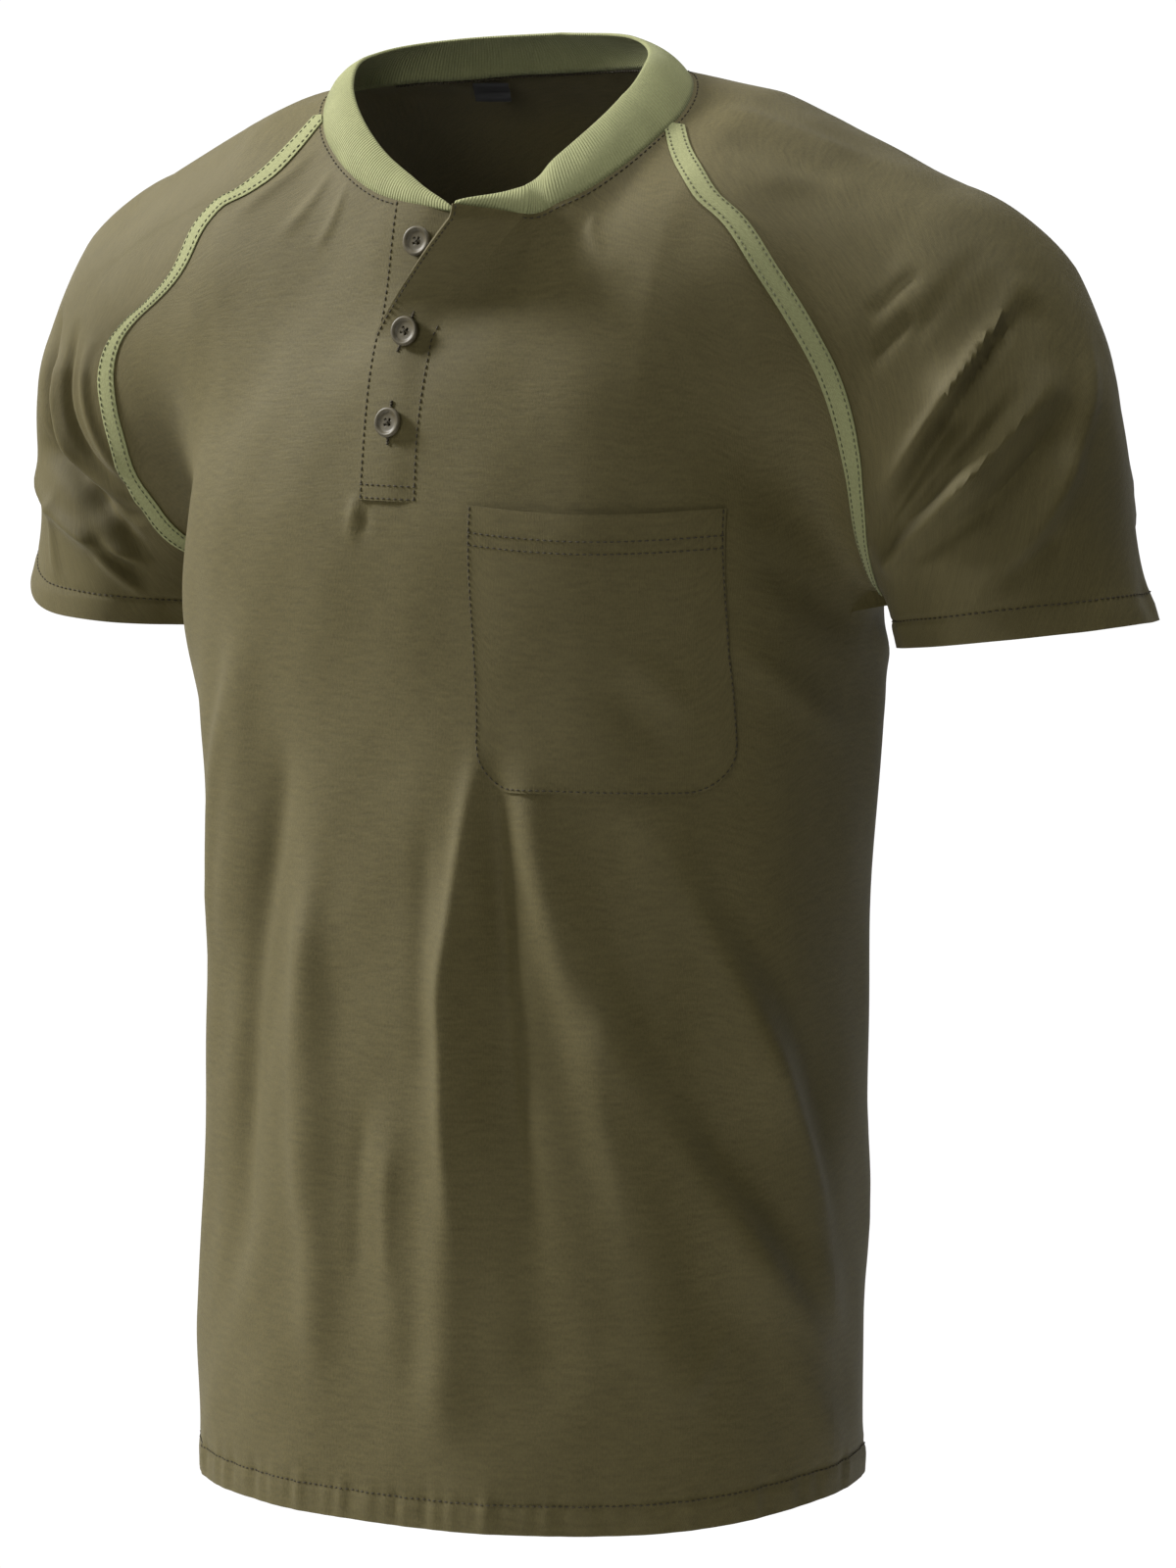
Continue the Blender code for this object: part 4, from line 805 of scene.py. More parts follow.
JERSEY_DARK = (0.046, 0.0366, 0.0080)
JERSEY_LIGHT = (0.076, 0.0615, 0.0180)
JERSEY_FADED = (0.13, 0.11, 0.055)
RIB_DARK = (0.150, 0.156, 0.068)
RIB_LIGHT = (0.210, 0.218, 0.098)
# Painted shade: the colour of the rib's furrows, darker than the rib where shade falls between the ribs.
RIB_FURROW_SHADE = (0.12, 0.125, 0.05)
RIB_PITCH = 0.0016
RESIN_DARK = (0.040, 0.033, 0.016)
RESIN_LIGHT = (0.072, 0.060, 0.033)
LABEL_DARK = (0.006, 0.006, 0.006)
LABEL_LIGHT = (0.016, 0.015, 0.014)
# Jersey stitch thread, darker than the jersey: partly the thread's tone, partly painted shade of the stitch
# holes, so the rows read as dark dots.
THREAD_WITH_HOLE_SHADE = (0.030, 0.024, 0.011)
TAPE_THREAD = (0.090, 0.092, 0.045)
PALE_THREAD = (0.300, 0.310, 0.160)


class Nodes:
    """A node tree: each call adds one node and links or sets its inputs."""

    def __init__(self, tree):
        self.tree = tree

    def plug(self, socket, value):
        if isinstance(value, bpy.types.NodeSocket):
            self.tree.links.new(value, socket)
        elif socket.type == "RGBA":
            socket.default_value = (*value, 1.0)
        else:
            socket.default_value = value

    def add(self, kind, inputs=None, **settings):
        made = self.tree.nodes.new(kind)
        for key, value in settings.items():
            setattr(made, key, value)
        for key, value in (inputs or {}).items():
            self.plug(made.inputs[key], value)
        return made

    def math(self, operation, a, b=0.0):
        return self.add("ShaderNodeMath", {0: a, 1: b}, operation=operation).outputs[0]

    def times(self, a, b):
        return self.math("MULTIPLY", a, b)

    def weighed(self, a, b, weight):
        return self.math("ADD", self.times(a, weight), self.times(b, 1 - weight))

    def scaled(self, vector, size):
        return self.add("ShaderNodeMapping", {"Vector": vector, "Scale": size}).outputs["Vector"]

    def noise(self, vector, scale, detail=2.0, rough=0.5):
        inputs = {"Vector": vector, "Scale": scale, "Detail": detail, "Roughness": rough}
        return self.add("ShaderNodeTexNoise", inputs).outputs["Fac"]

    def mixed(self, share, a, b):
        return self.add("ShaderNodeMix", {0: share, 6: a, 7: b}, data_type="RGBA").outputs[2]

    def spread(self, value, low, high):
        inputs = {"Value": value, "From Min": low, "From Max": high}
        return self.add("ShaderNodeMapRange", inputs).outputs["Result"]

    def knit(self, uv, wale, course):
        """Columns of loops: ridges along the cloth, broken into small slanted stitches."""
        parts = self.add("ShaderNodeSeparateXYZ", {"Vector": uv})
        across = self.times(parts.outputs["X"], math.pi / wale)
        along_cloth = self.times(parts.outputs["Y"], 2 * math.pi / course)
        ridge = self.math("ABSOLUTE", self.math("SINE", across))
        loops = self.math("SINE", self.math("ADD", along_cloth, self.times(ridge, 2.4)))
        return self.math("ADD", ridge, self.times(loops, 0.35))


class Shader(Nodes):
    """A material of its own, with a principled surface."""

    def __init__(self, name, roughness, sheen, sheen_tint, specular=0.3):
        self.material = bpy.data.materials.new(name)
        self.material.use_nodes = True
        super().__init__(self.material.node_tree)
        self.out = self.tree.nodes["Principled BSDF"]
        for key, value in (
            ("Roughness", roughness), ("Specular IOR Level", specular), ("Sheen Weight", sheen),
            ("Sheen Roughness", 0.5), ("Sheen Tint", sheen_tint),
        ):
            self.plug(self.out.inputs[key], value)

    def uv(self):
        return self.add("ShaderNodeUVMap", uv_map="weave").outputs["UV"]

    def place(self):
        return self.add("ShaderNodeTexCoord").outputs["Object"]

    def finish(self, colour, heights):
        self.plug(self.out.inputs["Base Color"], colour)
        normal = {}
        for height, strength, distance in heights:
            inputs = {"Height": height, "Strength": strength, "Distance": distance, **normal}
            normal = {"Normal": self.add("ShaderNodeBump", inputs).outputs["Normal"]}
        self.plug(self.out.inputs["Normal"], normal["Normal"])
        return self.material


def jersey_material():
    shader = Shader("jersey_cloth", 0.72, 0.04, (0.90, 0.88, 0.80), 0.28)
    uv = shader.uv()
    grain = shader.noise(shader.scaled(uv, (1.0, 0.45, 1.0)), 1100.0, 2.0, 0.6)
    slub = shader.noise(shader.scaled(uv, (0.22, 1.0, 1.0)), 420.0, 3.0, 0.55)
    cloudy = shader.noise(uv, 26.0, 3.0, 0.55)
    share = shader.spread(shader.weighed(grain, slub, 0.55), 0.34, 0.68)
    colour = shader.mixed(share, JERSEY_DARK, JERSEY_LIGHT)
    faded = shader.mixed(0.06, colour, JERSEY_FADED)
    worn = shader.mixed(shader.spread(cloudy, 0.30, 0.75), colour, faded)
    knit = shader.knit(uv, 0.00085, 0.00065)
    return shader.finish(worn, ((slub, 0.25, 0.0006), (grain, 0.30, 0.0004), (knit, 0.35, 0.00016)))


def rib_material():
    shader = Shader("rib_knit", 0.80, 0.08, (0.85, 0.87, 0.70))
    uv = shader.uv()
    grain = shader.noise(uv, 900.0, 2.0, 0.6)
    cloudy = shader.noise(uv, 60.0)
    share = shader.spread(shader.weighed(grain, cloudy, 0.6), 0.32, 0.68)
    colour = shader.mixed(share, RIB_DARK, RIB_LIGHT)
    parts = shader.add("ShaderNodeSeparateXYZ", {"Vector": uv})
    ribs = shader.math("SINE", shader.times(parts.outputs["X"], 2 * math.pi / RIB_PITCH))
    # Painted shade: the furrows between the ribs are darkened in colour, as well as sunk by the bump.
    painted_furrow_shade = shader.mixed(0.82, RIB_FURROW_SHADE, colour)
    furrow_shaded_colour = shader.mixed(shader.spread(ribs, -1.0, 0.2), painted_furrow_shade, colour)
    return shader.finish(furrow_shaded_colour, ((ribs, 0.55, 0.0003), (grain, 0.25, 0.0003)))


def tape_material():
    shader = Shader("seam_tape", 0.80, 0.08, (0.85, 0.87, 0.70))
    uv = shader.uv()
    grain = shader.noise(uv, 900.0, 2.0, 0.6)
    colour = shader.mixed(shader.spread(grain, 0.3, 0.7), RIB_DARK, RIB_LIGHT)
    return shader.finish(colour, ((grain, 0.25, 0.0003), (shader.knit(uv, 0.0009, 0.0007), 0.4, 0.0002)))


def thread_material(name, tone):
    shader = Shader(name, 0.75, 0.2, tone)
    twist = shader.noise(shader.place(), 1500.0, 1.0)
    colour = shader.mixed(shader.spread(twist, 0.3, 0.7), tuple(0.72 * c for c in tone), tone)
    return shader.finish(colour, ((twist, 0.4, 0.0002),))


def button_material():
    shader = Shader("button_resin", 0.48, 0.0, (1.0, 1.0, 1.0))
    place = shader.place()
    swirl = shader.noise(place, 260.0, 3.0)
    fine = shader.noise(place, 2400.0, 1.0)
    colour = shader.mixed(shader.spread(swirl, 0.3, 0.7), RESIN_DARK, RESIN_LIGHT)
    return shader.finish(colour, ((fine, 0.10, 0.0001),))


def label_material():
    shader = Shader("label_satin", 0.6, 0.1, (0.3, 0.3, 0.3), 0.4)
    uv = shader.uv()
    knit = shader.knit(uv, 0.0006, 0.0003)
    colour = shader.mixed(shader.noise(uv, 1800.0, 1.0), LABEL_DARK, LABEL_LIGHT)
    return shader.finish(colour, ((knit, 0.3, 0.0001),))


# ---- making pieces

LOOKS = {
    "jersey": jersey_material(),
    "rib": rib_material(),
    "tape": tape_material(),
    "thread": thread_material("jersey_thread_painted_shade", THREAD_WITH_HOLE_SHADE),
    "tape_thread": thread_material("tape_thread", TAPE_THREAD),
    "pale_thread": thread_material("pale_thread", PALE_THREAD),
    "button": button_material(),
    "label": label_material(),
}


def dress(piece, look, nodes=()):
    piece.data.materials.append(LOOKS[look])
    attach(piece, "root")
    if nodes:
        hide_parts(*nodes)
    return piece


def placed(name, data):
    made = bpy.data.objects.new(name, data)
    bpy.context.scene.collection.objects.link(made)
    return made


def new_mesh(name, points, faces):
    mesh = bpy.data.meshes.new(name)
    mesh.from_pydata([tuple(point) for point in points], [], faces)
    mesh.shade_smooth()
    return placed(name, mesh)


def apply_modifiers(piece):
    bpy.context.view_layer.update()
    shown = piece.evaluated_get(bpy.context.evaluated_depsgraph_get())
    done = bpy.data.meshes.new_from_object(shown)
    piece.modifiers.clear()
    piece.data = done


def grid_faces(rows, cols, left_out=(), wrap=False):
    faces = []
    gaps = set(left_out)
    for row in range(rows - 1):
        for col in range(cols if wrap else cols - 1):
            if (row, col) not in gaps:
                low, right = row * cols, (col + 1) % cols
                faces.append((low + col, low + right, low + cols + right, low + cols + col))
    return faces


def closed_tube(name, grid):
    """A solid from rings of points, with its first and last ring filled."""
    rows, cols = grid.shape[:2]
    faces = grid_faces(rows, cols, wrap=True)
    faces += [tuple(range(cols))[::-1], tuple(range(rows * cols - cols, rows * cols))]
    return new_mesh(name, grid.reshape(-1, 3), faces)


def corner_points(mesh):
    """The number of the point at each corner of the faces."""
    return np.array([corner.vertex_index for corner in mesh.loops])


def set_weave(mesh, places):
    """Texture places in metres: across the cloth and along it."""
    mesh.uv_layers.new(name="weave").data.foreach_set("uv", places.ravel())


def add_weave(mesh, grid, wrap):
    closed = np.concatenate([grid, grid[:, :1]], axis=1) if wrap else grid
    across = arc(closed, 1)
    middle = closed.shape[1] // 2
    across = across - across[:, middle:middle + 1]
    cols = grid.shape[1]
    rows, columns = np.divmod(corner_points(mesh), cols)
    last = np.repeat(columns[::4], 4) == cols - 1
    columns = np.where(wrap & (columns == 0) & last, cols, columns)
    set_weave(mesh, np.stack([across[rows, columns], arc(closed, 0)[rows, columns]], axis=1))


def cloth(name, grid, look, nodes, wall, left_out=(), wrap=False, flip=False):
    """A fine shell of cloth from a grid of its outer points."""
    piece = new_mesh(name, grid.reshape(-1, 3), grid_faces(*grid.shape[:2], left_out, wrap))
    add_weave(piece.data, grid, wrap)
    tidy = bmesh.new()
    tidy.from_mesh(piece.data)
    bmesh.ops.delete(tidy, geom=[vert for vert in tidy.verts if not vert.link_faces], context="VERTS")
    if flip:
        bmesh.ops.reverse_faces(tidy, faces=tidy.faces)
    tidy.to_mesh(piece.data)
    tidy.free()
    piece.data.shade_smooth()
    thick = piece.modifiers.new("wall", "SOLIDIFY")
    thick.thickness = wall
    thick.offset = -1.0
    apply_modifiers(piece)
    piece.data.set_sharp_from_angle(angle=math.radians(SHARP_DEGREES))
    return dress(piece, look, nodes)


def cloth_tree(grid, left_out=(), wrap=False):
    faces = grid_faces(*grid.shape[:2], left_out, wrap)
    return BVHTree.FromPolygons([Vector(point) for point in grid.reshape(-1, 3)], faces)


# One stitch: rings of points with their place along it, thickness and count.
STITCH_SIDES = 5
STITCH_RINGS = ((-0.5, 0, 1), (-0.32, 0.8, 5), (0, 1, 5), (0.32, 0.8, 5), (0.5, 0, 1))
STITCH_FLATTENED = 0.8
STITCH_STEP = 0.0004
STITCH_POINTS = [
    (share, thick, 2 * math.pi * turn / STITCH_SIDES)
    for share, thick, count in STITCH_RINGS for turn in range(count)
]


def stitch_faces(first):
    """Faces of one stitch whose first point has this number."""
    faces = []
    rings = [first, first + 1, first + 6, first + 11, first + 16]
    for turn in range(STITCH_SIDES):
        after = (turn + 1) % STITCH_SIDES
        faces.append((rings[0], rings[1] + after, rings[1] + turn))
        for low, high in ((rings[1], rings[2]), (rings[2], rings[3])):
            faces.append((low + turn, low + after, high + after, high + turn))
        faces.append((rings[4], rings[3] + turn, rings[3] + after))
    return faces


def stitches(name, runs, look, length=0.0023, pitch=0.0033, width=0.0008, sink=0.15):
    """One joined piece of small thread beads along runs of points with outward ways."""
    points, faces = [], []
    for line, ways in runs:
        run = along(line)
        count = max(int(run[-1] / pitch), 1)
        at = (np.arange(count) + 0.5) * run[-1] / count
        near = STITCH_STEP
        step = walk(line, np.minimum(at + near, run[-1])) - walk(line, np.maximum(at - near, 0))
        ahead = unit(step.T)
        out = unit(np.stack([np.interp(at, run, ways[:, k]) for k in range(3)], axis=1))
        beside = unit(np.cross(ahead, out))
        for place, fore, up, side in zip(walk(line, at).T, ahead, out, beside):
            faces += stitch_faces(len(points))
            for share, thick, angle in STITCH_POINTS:
                centre = place + share * length * fore + (0.5 - sink) * width * thick * up
                round_it = math.cos(angle) * side + STITCH_FLATTENED * math.sin(angle) * up
                points.append(centre + 0.5 * width * thick * round_it)
    return dress(new_mesh(name, points, faces), look)


def on_cloth(tree, line):
    """A line of points laid on a panel, with the panel's outward ways."""
    places, ways = [], []
    for point in line:
        hit, normal, _, _ = tree.find_nearest(Vector(point))
        out = np.array(normal)
        places.append(np.array(hit))
        ways.append(-out if out @ outward(places[-1]) < 0 else out)
    return np.array(places), np.array(ways)


# ---- the pieces

FOOT_ROW = SIDE_CELLS + SLIT_FOOT_CELL
FIRST_SLIT = HALF_FRONT_CELLS
LAST_SLIT = HALF_FRONT_CELLS + SLIT_CELLS
BAND_LEFT = LAST_SLIT + NECK_TOP_CELLS + BACK_CELLS + NECK_TOP_CELLS
SHOULDER = slice(RAGLAN_CELLS, RAGLAN_CELLS + NECK_TOP_CELLS + 1)
SIDES = ((1, "left"), (-1, "right"))


def slit_left_out():
    rows = range(FOOT_ROW, SIDE_CELLS + RAGLAN_CELLS)
    return [(row, col) for row in rows for col in range(FIRST_SLIT, LAST_SLIT)]


def round_the_neck(front, back, sleeves):
    """The neck seam from one side of the slit to the other, by the wearer's right."""
    return np.vstack([
        front[-1, LAST_SLIT:0:-1],
        sleeves[-1][0, SHOULDER][:-1],
        back[-1, :0:-1],
        sleeves[1][0, SHOULDER][:0:-1],
        swung_open(front[-1, :FIRST_SLIT - 1:-1]),
    ])


def band_sides(front, back, sleeves):
    """Outer points of the neck band, and its inward ways."""
    seam = round_the_neck(front, back, sleeves)
    still = seam.copy()
    still[BAND_LEFT:] = front[-1, FIRST_SLIT:][::-1]
    edge = band_edge(neck_angle(still)) + seam - still
    run = along(seam)
    from_end = np.clip(np.minimum(run, run[-1] - run) / BAND_END_LENGTH, 0, 1)
    height = BAND_END_HEIGHT + (1 - BAND_END_HEIGHT) * np.sin(0.5 * np.pi * from_end) ** BAND_END_CURVE
    rise = (edge - seam) * height[:, None]
    bulge = unit(np.cross(rise, np.gradient(seam, axis=0)))
    v = np.linspace(0, 1, BAND_ROWS + 1)[:, None, None]
    lean = 4 * v * (1 - v) * BAND_BULGE * height[:, None]
    return seam + v * rise + lean * bulge, bulge


def make_band(front, back, sleeves):
    """The neck band as folded rib: up the outside, round the fold and down the inside."""
    outer, bulge = band_sides(front, back, sleeves)
    up = unit(outer[-1] - outer[-2])
    loop = list(outer)
    for turn in np.radians((30, 60, 90, 120, 150)):
        loop.append(outer[-1] + 0.5 * RIB_WALL * (math.sin(turn) * up - (1 - math.cos(turn)) * bulge))
    loop += list(outer[::-1] - RIB_WALL * bulge)
    tube = np.array(loop).transpose(1, 0, 2)[:, ::-1]
    piece = closed_tube("neck_band", tube)
    around = arc(tube, 1)
    run = np.broadcast_to(arc(tube, 0)[:, :1], around.shape)
    places = np.stack([run, around], axis=-1).reshape(-1, 2)
    set_weave(piece.data, places[corner_points(piece.data)])
    return dress(piece, "rib", ("collar",))


def strip_points(grid, step):
    points = grid[FOOT_ROW:, FIRST_SLIT:LAST_SLIT + 1]
    share = np.clip(np.linspace(2, 0, SLIT_CELLS + 1), 0, 1)
    share = share * share * (3 - 2 * share)
    return points + (step * share)[None, :, None] * outward(points)


def make_plackets(grid):
    level = strip_points(grid, PLACKET_STEP)
    over = swung_open(level)
    under = level - PLACKET_STEP * outward(level)
    under[:, -1] = under[:, -1] + 0.25 * (under[:, -2] - under[:, -1])
    outer = cloth("placket_outer_cloth", over, "jersey", ("placket_outer",), PLACKET_WALL)
    inner = cloth("placket_under_cloth", under, "jersey", ("placket_under",), PLACKET_WALL)
    return over, under, outer, inner


def tape_grid(side, front, sleeve):
    rows = []
    shares = np.linspace(0, 1, 4)[1:]
    for step in range(TAPE_START, RAGLAN_CELLS + 1):
        row = front[SIDE_CELLS + step]
        on_front = (row[::-1] if side > 0 else row)[:40]
        on_sleeve = sleeve[:40, step]
        half = TAPE_WIDTH / 2 * min(0.35 + 0.06 * step, 1)
        rows.append(np.vstack([
            walk(on_front, half * shares[::-1]).T,
            on_front[:1],
            walk(on_sleeve, half * shares).T,
        ]))
    tape = np.array(rows)
    return tape + np.array(TAPE_LIFT)[:, None] * outward(tape)


def pocket_grid(front):
    tree = cloth_tree(front, slit_left_out())
    shares = np.linspace(0, 1, POCKET_CELLS + 1)
    crowded = 0.35 * shares + 0.65 * 0.5 * (1 - np.cos(np.pi * shares))
    grid = np.zeros((POCKET_CELLS + 1, POCKET_CELLS + 1, 3))
    for col, u in enumerate(crowded):
        x = POCKET_LEFT_X + (POCKET_RIGHT_X - POCKET_LEFT_X) * u
        beyond = max(POCKET_CORNER_X - min(x - POCKET_LEFT_X, POCKET_RIGHT_X - x), 0) / POCKET_CORNER_X
        foot = POCKET_FOOT_Z + POCKET_CORNER_Z * (1 - math.sqrt(max(1 - beyond**2, 0)))
        top = POCKET_TOP_Z - POCKET_TOP_SAG * math.sin(math.pi * u)
        for row, v in enumerate(shares):
            z = foot + (top - foot) * v
            bag = POCKET_BAG * math.sin(math.pi * u) * math.sin(0.5 * math.pi * v)
            hit, normal, _, _ = tree.ray_cast(Vector((x, -0.4, z)), Vector((0, 1, 0)))
            out = -normal if normal.y > 0 else normal
            grid[row, col] = hit + (POCKET_LIFT + bag) * out
    return grid


def button_shape(name, place, out, up):
    """A resin button with a raised round rim, a dished middle and four open holes."""
    shares = np.array(BUTTON_PROFILE)
    radius, height = BUTTON_RADIUS * shares[:, :1], BUTTON_THICKNESS * shares[:, 1:]
    turns = 2 * math.pi * np.arange(64) / 64
    rings = (radius * np.cos(turns), radius * np.sin(turns), height + 0 * turns)
    piece = closed_tube(name, np.stack(rings, axis=-1))
    cutter = bmesh.new()
    for angle in np.radians((45, 135, 225, 315)):
        spot = Vector((math.cos(angle), math.sin(angle), 0)) * HOLE_PLACE
        bmesh.ops.create_cone(
            cutter, cap_ends=True, segments=16, radius1=HOLE_RADIUS, radius2=HOLE_RADIUS,
            depth=3 * BUTTON_THICKNESS,
            matrix=Matrix.Translation(spot + Vector((0, 0, BUTTON_THICKNESS / 2))),
        )
    mesh = bpy.data.meshes.new(name + "_holes")
    cutter.to_mesh(mesh)
    cutter.free()
    holes = placed(name + "_holes", mesh)
    cut = piece.modifiers.new("holes", "BOOLEAN")
    cut.operation = "DIFFERENCE"
    cut.object = holes
    cut.solver = "EXACT"
    apply_modifiers(piece)
    bpy.data.objects.remove(holes, do_unlink=True)
    side = Vector(up).cross(out).normalized()
    turn = Matrix((side, out.cross(side), out)).transposed().to_4x4()
    piece.data.transform(Matrix.Translation(place) @ turn)
    piece.data.shade_smooth()
    return piece, side, out.cross(side)


def strip_place(strip, height):
    middle = SLIT_CELLS // 2
    row = int(np.argmin(np.abs(strip[:, middle, 2] - height)))
    row = min(max(row, 2), len(strip) - 3)
    low, high = strip[row - 2:row + 3:4, middle]
    share = (height - low[2]) / (high[2] - low[2])
    across = strip[row, middle + 2] - strip[row, middle - 2]
    out = Vector(np.cross(across, high - low)).normalized()
    return Vector(low + share * (high - low)), out, Vector(high - low).normalized()


def make_button(number, strip, height):
    place, out, up = strip_place(strip, height)
    piece, side, top = button_shape(f"button_{number}_resin", place + BUTTON_STAND * out, out, up)
    dress(piece, "button", (f"button_{number}",))
    lines = []
    face = place + (BUTTON_STAND + BUTTON_THICKNESS * BUTTON_PROFILE[-1][1]) * out
    share = np.linspace(0, 1, 9)
    for way in (side + top, side - top):
        ends = (np.array(face - CROSS_REACH * way), np.array(face + CROSS_REACH * way))
        line = ends[0] + share[:, None] * (ends[1] - ends[0])
        line += (CROSS_RISE * np.sin(np.pi * share) - CROSS_SINK)[:, None] * np.array(out)
        lines.append((line, np.tile(np.array(out), (9, 1))))
    stitches(f"button_{number}_thread", lines, "thread", length=0.0036, pitch=0.0036, sink=0.0)


def inset(edge, inner, offset):
    """A line in from a grid's edge, towards the line of points inside it."""
    return edge + offset * unit(inner - edge)


def level_line(grid, distance):
    """A line across a grid at a distance from its first row."""
    return np.array([walk(grid[:, col], distance) for col in range(grid.shape[1])])


def build():
    smooth_front, smooth_back = front_grid(), back_grid()
    front = creased(smooth_front, arc(smooth_front, 0))
    back = creased(smooth_back, arc(smooth_back, 0))
    sleeves = {}
    for side, _ in SIDES:
        smooth = sleeve_grid(side)
        run = arc(smooth, 0)
        sleeves[side] = creased(smooth, run[-1:] - run)
    flap = front.copy()
    flap[FOOT_ROW:, LAST_SLIT:] = swung_open(flap[FOOT_ROW:, LAST_SLIT:])
    made = {
        "front": cloth("front_cloth", flap, "jersey", ("front",), WALL, left_out=slit_left_out()),
        "back": cloth("back_cloth", back, "jersey", ("back",), WALL),
    }
    tape_runs = []
    for side, word in SIDES:
        node = f"sleeve_{word}"
        made[node] = cloth(
            f"{node}_cloth", sleeves[side], "jersey", (node,), WALL, wrap=True, flip=side > 0
        )
        grid = tape_grid(side, flap, sleeves[side])
        node = f"tape_{word}"
        made[node] = cloth(f"{node}_cloth", grid, "tape", (node,), TAPE_WALL, flip=side < 0)
        tape_runs += [(grid[:, col], outward(grid[:, col])) for col in (1, -2)]
    over, under, made["over"], made["under"] = make_plackets(front)
    made["band"] = make_band(front, back, sleeves)
    pocket = pocket_grid(flap)
    made["pocket"] = cloth("pocket_cloth", pocket, "jersey", ("pocket",), POCKET_WALL)
    made["label"] = make_label(back)
    threads = make_threads(flap, back, sleeves, over, under, pocket, tape_runs)
    for number, strip in enumerate((under, over, over)):
        make_button(number + 1, strip, BUTTON_HEIGHTS[number])


def make_label(back):
    """The label hangs from the neck seam, clear of the sloping back."""
    tree = cloth_tree(back)
    grid = np.zeros((9, 13, 3))
    for col, x in enumerate(np.linspace(LABEL_X + LABEL_WIDTH / 2, LABEL_X - LABEL_WIDTH / 2, 13)):
        hit, _, _, _ = tree.ray_cast(Vector((x, 0.4, LABEL_TOP_Z)), Vector((0, -1, 0)))
        for row, share in enumerate(np.linspace(1, 0, 9)):
            sway = LABEL_SWAY * math.sin(9.0 * share) * math.cos(200.0 * x)
            z = hit.z - WALL - LABEL_GAP - LABEL_HEIGHT * share
            grid[row, col] = (x, hit.y + LABEL_LEAN * share + sway, z)
    return cloth("neck_label_cloth", grid, "label", ("neck_label",), LABEL_WALL)


def make_threads(flap, back, sleeves, over, under, pocket, tape_runs):
    front_tree = cloth_tree(flap, slit_left_out())
    back_tree = cloth_tree(back)
    panels = ((front_tree, flap), (back_tree, back))
    runs = [on_cloth(tree, level_line(grid, HEM_DEPTH)) for tree, grid in panels]
    threads = {"hem": stitches("hem_stitches", runs, "thread")}
    neck = [
        on_cloth(tree, inset(grid[-1], grid[-2], SEAM_INSET))
        for tree, grid in (
            (front_tree, flap[:, :FIRST_SLIT + 1]), (front_tree, flap[:, LAST_SLIT:]), (back_tree, back),
        )
    ]
    for side, word in SIDES:
        tree = cloth_tree(sleeves[side], wrap=True)
        line = level_line(sleeves[side][::-1], HEM_DEPTH)
        run = on_cloth(tree, np.vstack([line, line[:1]]))
        threads[f"cuff_{word}"] = stitches(f"cuff_{word}_stitches", [run], "thread")
        edge, inner = sleeves[side][:2, SHOULDER]
        neck.append(on_cloth(tree, inset(edge, inner, SEAM_INSET)))
    threads["tape"] = stitches("tape_stitches", tape_runs, "tape_thread", sink=0.3)
    threads["pocket"] = stitches("pocket_stitches", pocket_runs(pocket), "thread")
    threads["placket"] = stitches("placket_stitches", placket_runs(over, under), "thread")
    threads["neck"] = stitches("neck_stitches", neck, "thread")
    holes = []
    for height in BUTTON_HEIGHTS[1:]:
        place, out, up = strip_place(over, height)
        line = np.array(place) + np.linspace(-BUTTONHOLE / 2, BUTTONHOLE / 2, 12)[:, None] * np.array(up)
        holes.append((line, np.tile(np.array(out), (12, 1))))
    threads["holes"] = stitches("buttonhole_stitches", holes, "thread", 0.0015, 0.0012, 0.0017, 0.2)
    # The serging is drawn in the same dark thread, painting the dark line of shade below the neck band
    # inside the back.
    out = outward(back[-1])
    serging = [(back[-1] - (WALL + SERGING_SINK) * out, -out)]
    threads["serging"] = stitches("neck_serging", serging, "thread", 0.0021, 0.0019, 0.0017, 0.0)
    return threads


def pocket_runs(pocket):
    lines = [
        inset(pocket[:, 0], pocket[:, 1], EDGE_INSET),
        inset(pocket[:, -1], pocket[:, -2], EDGE_INSET),
        inset(pocket[0], pocket[1], EDGE_INSET),
    ]
    lines += [level_line(pocket[::-1], drop) for drop in POCKET_HEM_ROWS]
    return [(line, outward(line)) for line in lines]


def placket_runs(over, under):
    runs = []
    for strip, col, inner in ((over, 0, 1), (over, -1, -2), (under, 0, 1)):
        line = inset(strip[:, col], strip[:, inner], EDGE_INSET)
        ways = unit(np.cross(strip[:, 2] - strip[:, 0], np.gradient(strip[:, 1], axis=0)))
        shown = int(np.argmax(line[:, 2] > ROLLED_ABOVE)) if col == -1 else len(line)
        runs.append((line[:shown], ways[:shown]))
    lines = [level_line(over, rise) for rise in PLACKET_FOOT_ROWS]
    return runs + [(line, outward(line)) for line in lines]


# ---- camera, light and floor


CAMERA_AIM = (0.0, 0.024, -0.36)
CAMERA_TURN = math.radians(34.06)
CAMERA_DISTANCE = 3.4934
CAMERA_HEIGHT = 0.0686
LENS = 161.6
LENS_SHIFT = (0.03154, 0.01567)

# Columns: name, place, height aimed at, power, size, tone.
LIGHTS = (
    ("key", (-2.8, -1.15, 1.7), -0.25, 290, 0.8, (1.0, 0.99, 0.97)),
    ("top", (0.5, 0.1, 2.6), -0.10, 75, 1.2, (1.0, 1.0, 1.0)),
    ("fill", (0.6, -2.9, 0.45), -0.20, 26, 1.0, (1.0, 1.0, 1.0)),
)

FLOOR_RADIUS = 1.8
FLOOR_Z = -1.25
FLOOR_TONE = (0.92, 0.92, 0.92)

# A white wall stands this way, and fades into a dimmer room.
WALL_WAY = (-0.560, 0.828, 0.0)
WALL_FADE = (0.70, 0.95)
WALL_GLOW = 1.05
ROOM_GLOW = 0.17


def aimed(piece, place, aim):
    piece.location = place
    piece.rotation_euler = (Vector(aim) - Vector(place)).to_track_quat("-Z", "Y").to_euler()


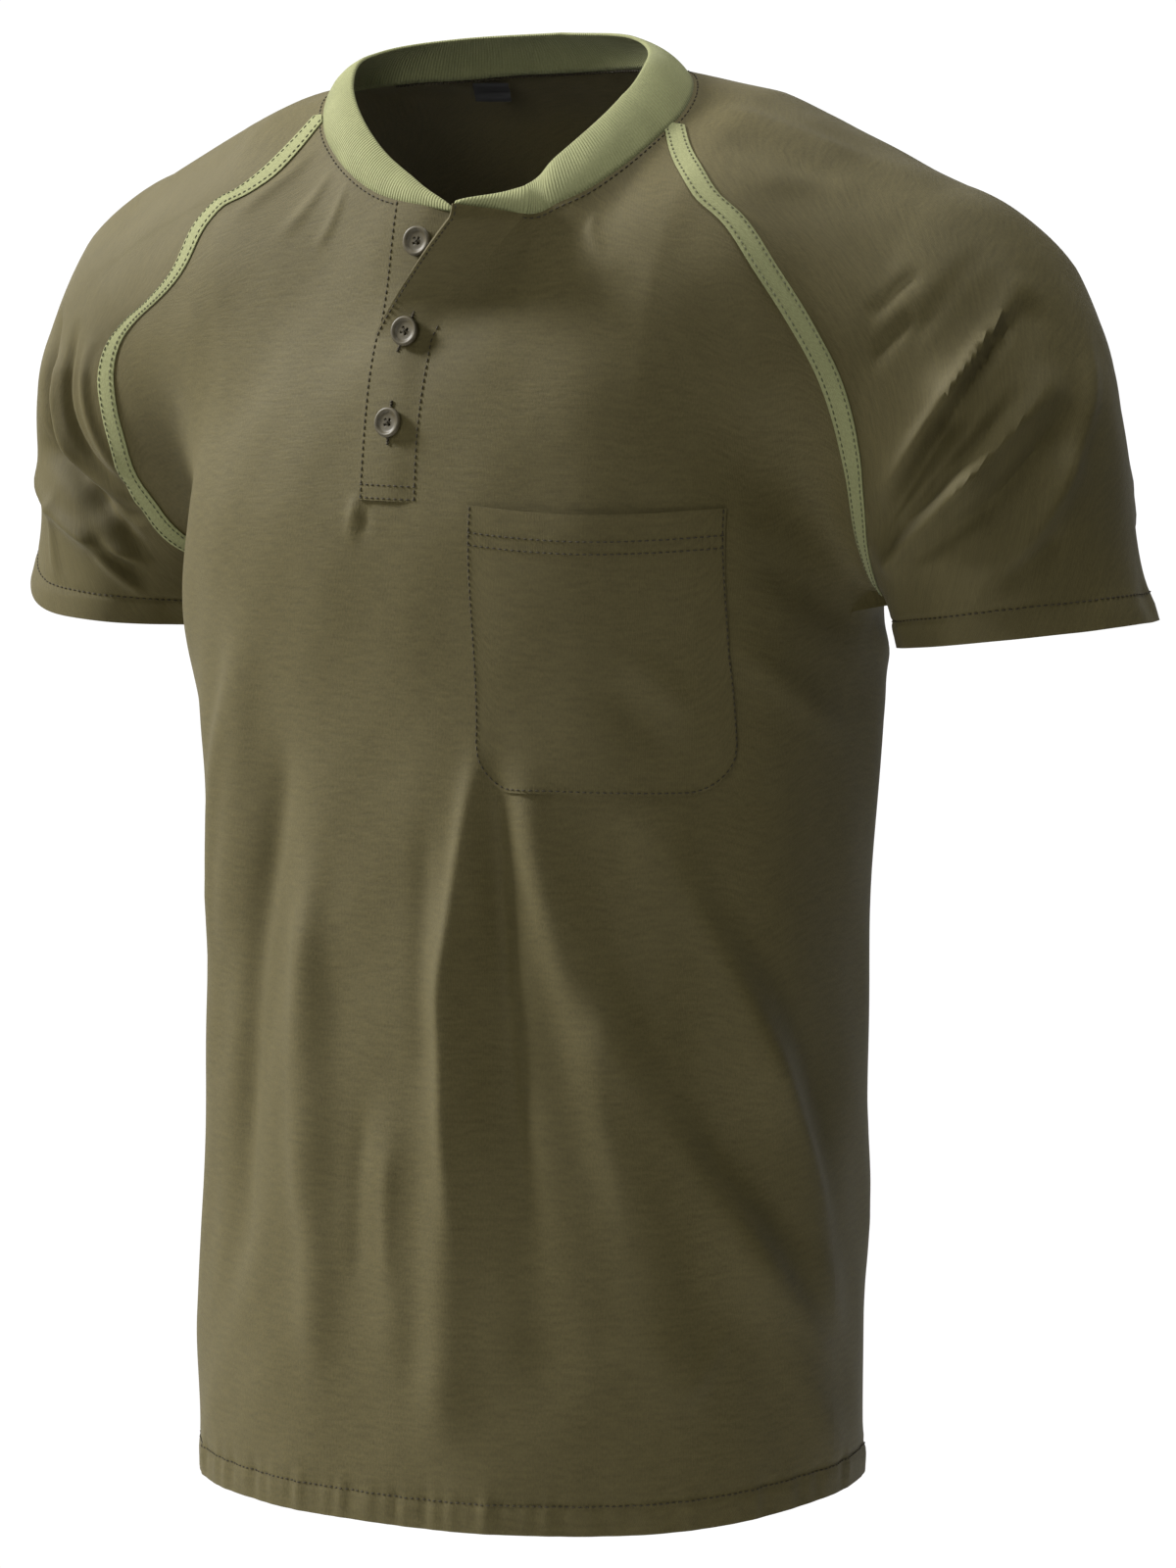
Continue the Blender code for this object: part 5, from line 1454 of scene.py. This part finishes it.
def add_camera():
    data = bpy.data.cameras.new("camera")
    data.sensor_width = 36.0
    data.lens = LENS
    data.shift_x, data.shift_y = LENS_SHIFT
    data.clip_end = 60.0
    camera = placed("camera", data)
    x = CAMERA_DISTANCE * math.sin(CAMERA_TURN)
    y = CAMERA_AIM[1] - CAMERA_DISTANCE * math.cos(CAMERA_TURN)
    aimed(camera, (x, y, CAMERA_HEIGHT), CAMERA_AIM)
    bpy.context.scene.camera = camera


def add_light(name, place, aim_height, power, size, tone):
    data = bpy.data.lights.new(name, "AREA")
    data.energy = power
    data.size = size
    data.color = tone
    aimed(placed(name, data), place, (0.0, 0.0, aim_height))


def add_floor():
    mesh = bpy.data.meshes.new("floor")
    turns = np.radians(np.arange(0, 360, 5))
    rim = [(FLOOR_RADIUS * math.cos(turn), FLOOR_RADIUS * math.sin(turn), 0) for turn in turns]
    mesh.from_pydata(rim, [], [tuple(range(len(rim)))])
    floor = placed("floor", mesh)
    floor.location = (0, 0, FLOOR_Z)
    made = bpy.data.materials.new("floor_matt")
    made.use_nodes = True
    surface = made.node_tree.nodes["Principled BSDF"]
    surface.inputs["Base Color"].default_value = (*FLOOR_TONE, 1)
    surface.inputs["Roughness"].default_value = 0.9
    mesh.materials.append(made)


def add_world():
    world = bpy.data.worlds.new("studio")
    world.use_nodes = True
    nodes = Nodes(world.node_tree)
    way = nodes.add("ShaderNodeTexCoord").outputs["Generated"]
    facing = nodes.add("ShaderNodeVectorMath", {0: way, 1: WALL_WAY}, operation="DOT_PRODUCT")
    glow = nodes.add(
        "ShaderNodeMapRange",
        {
            "Value": facing.outputs["Value"], "From Min": WALL_FADE[0], "From Max": WALL_FADE[1],
            "To Min": ROOM_GLOW, "To Max": WALL_GLOW,
        },
        interpolation_type="SMOOTHSTEP",
    )
    wall = nodes.tree.nodes["Background"]
    nodes.plug(wall.inputs["Color"], (1.0, 1.0, 1.0))
    nodes.plug(wall.inputs["Strength"], glow.outputs["Result"])
    bpy.context.scene.world = world


build()
add_camera()
add_floor()
add_world()
for light in LIGHTS:
    add_light(*light)
bpy.context.scene.view_settings.view_transform = "Standard"
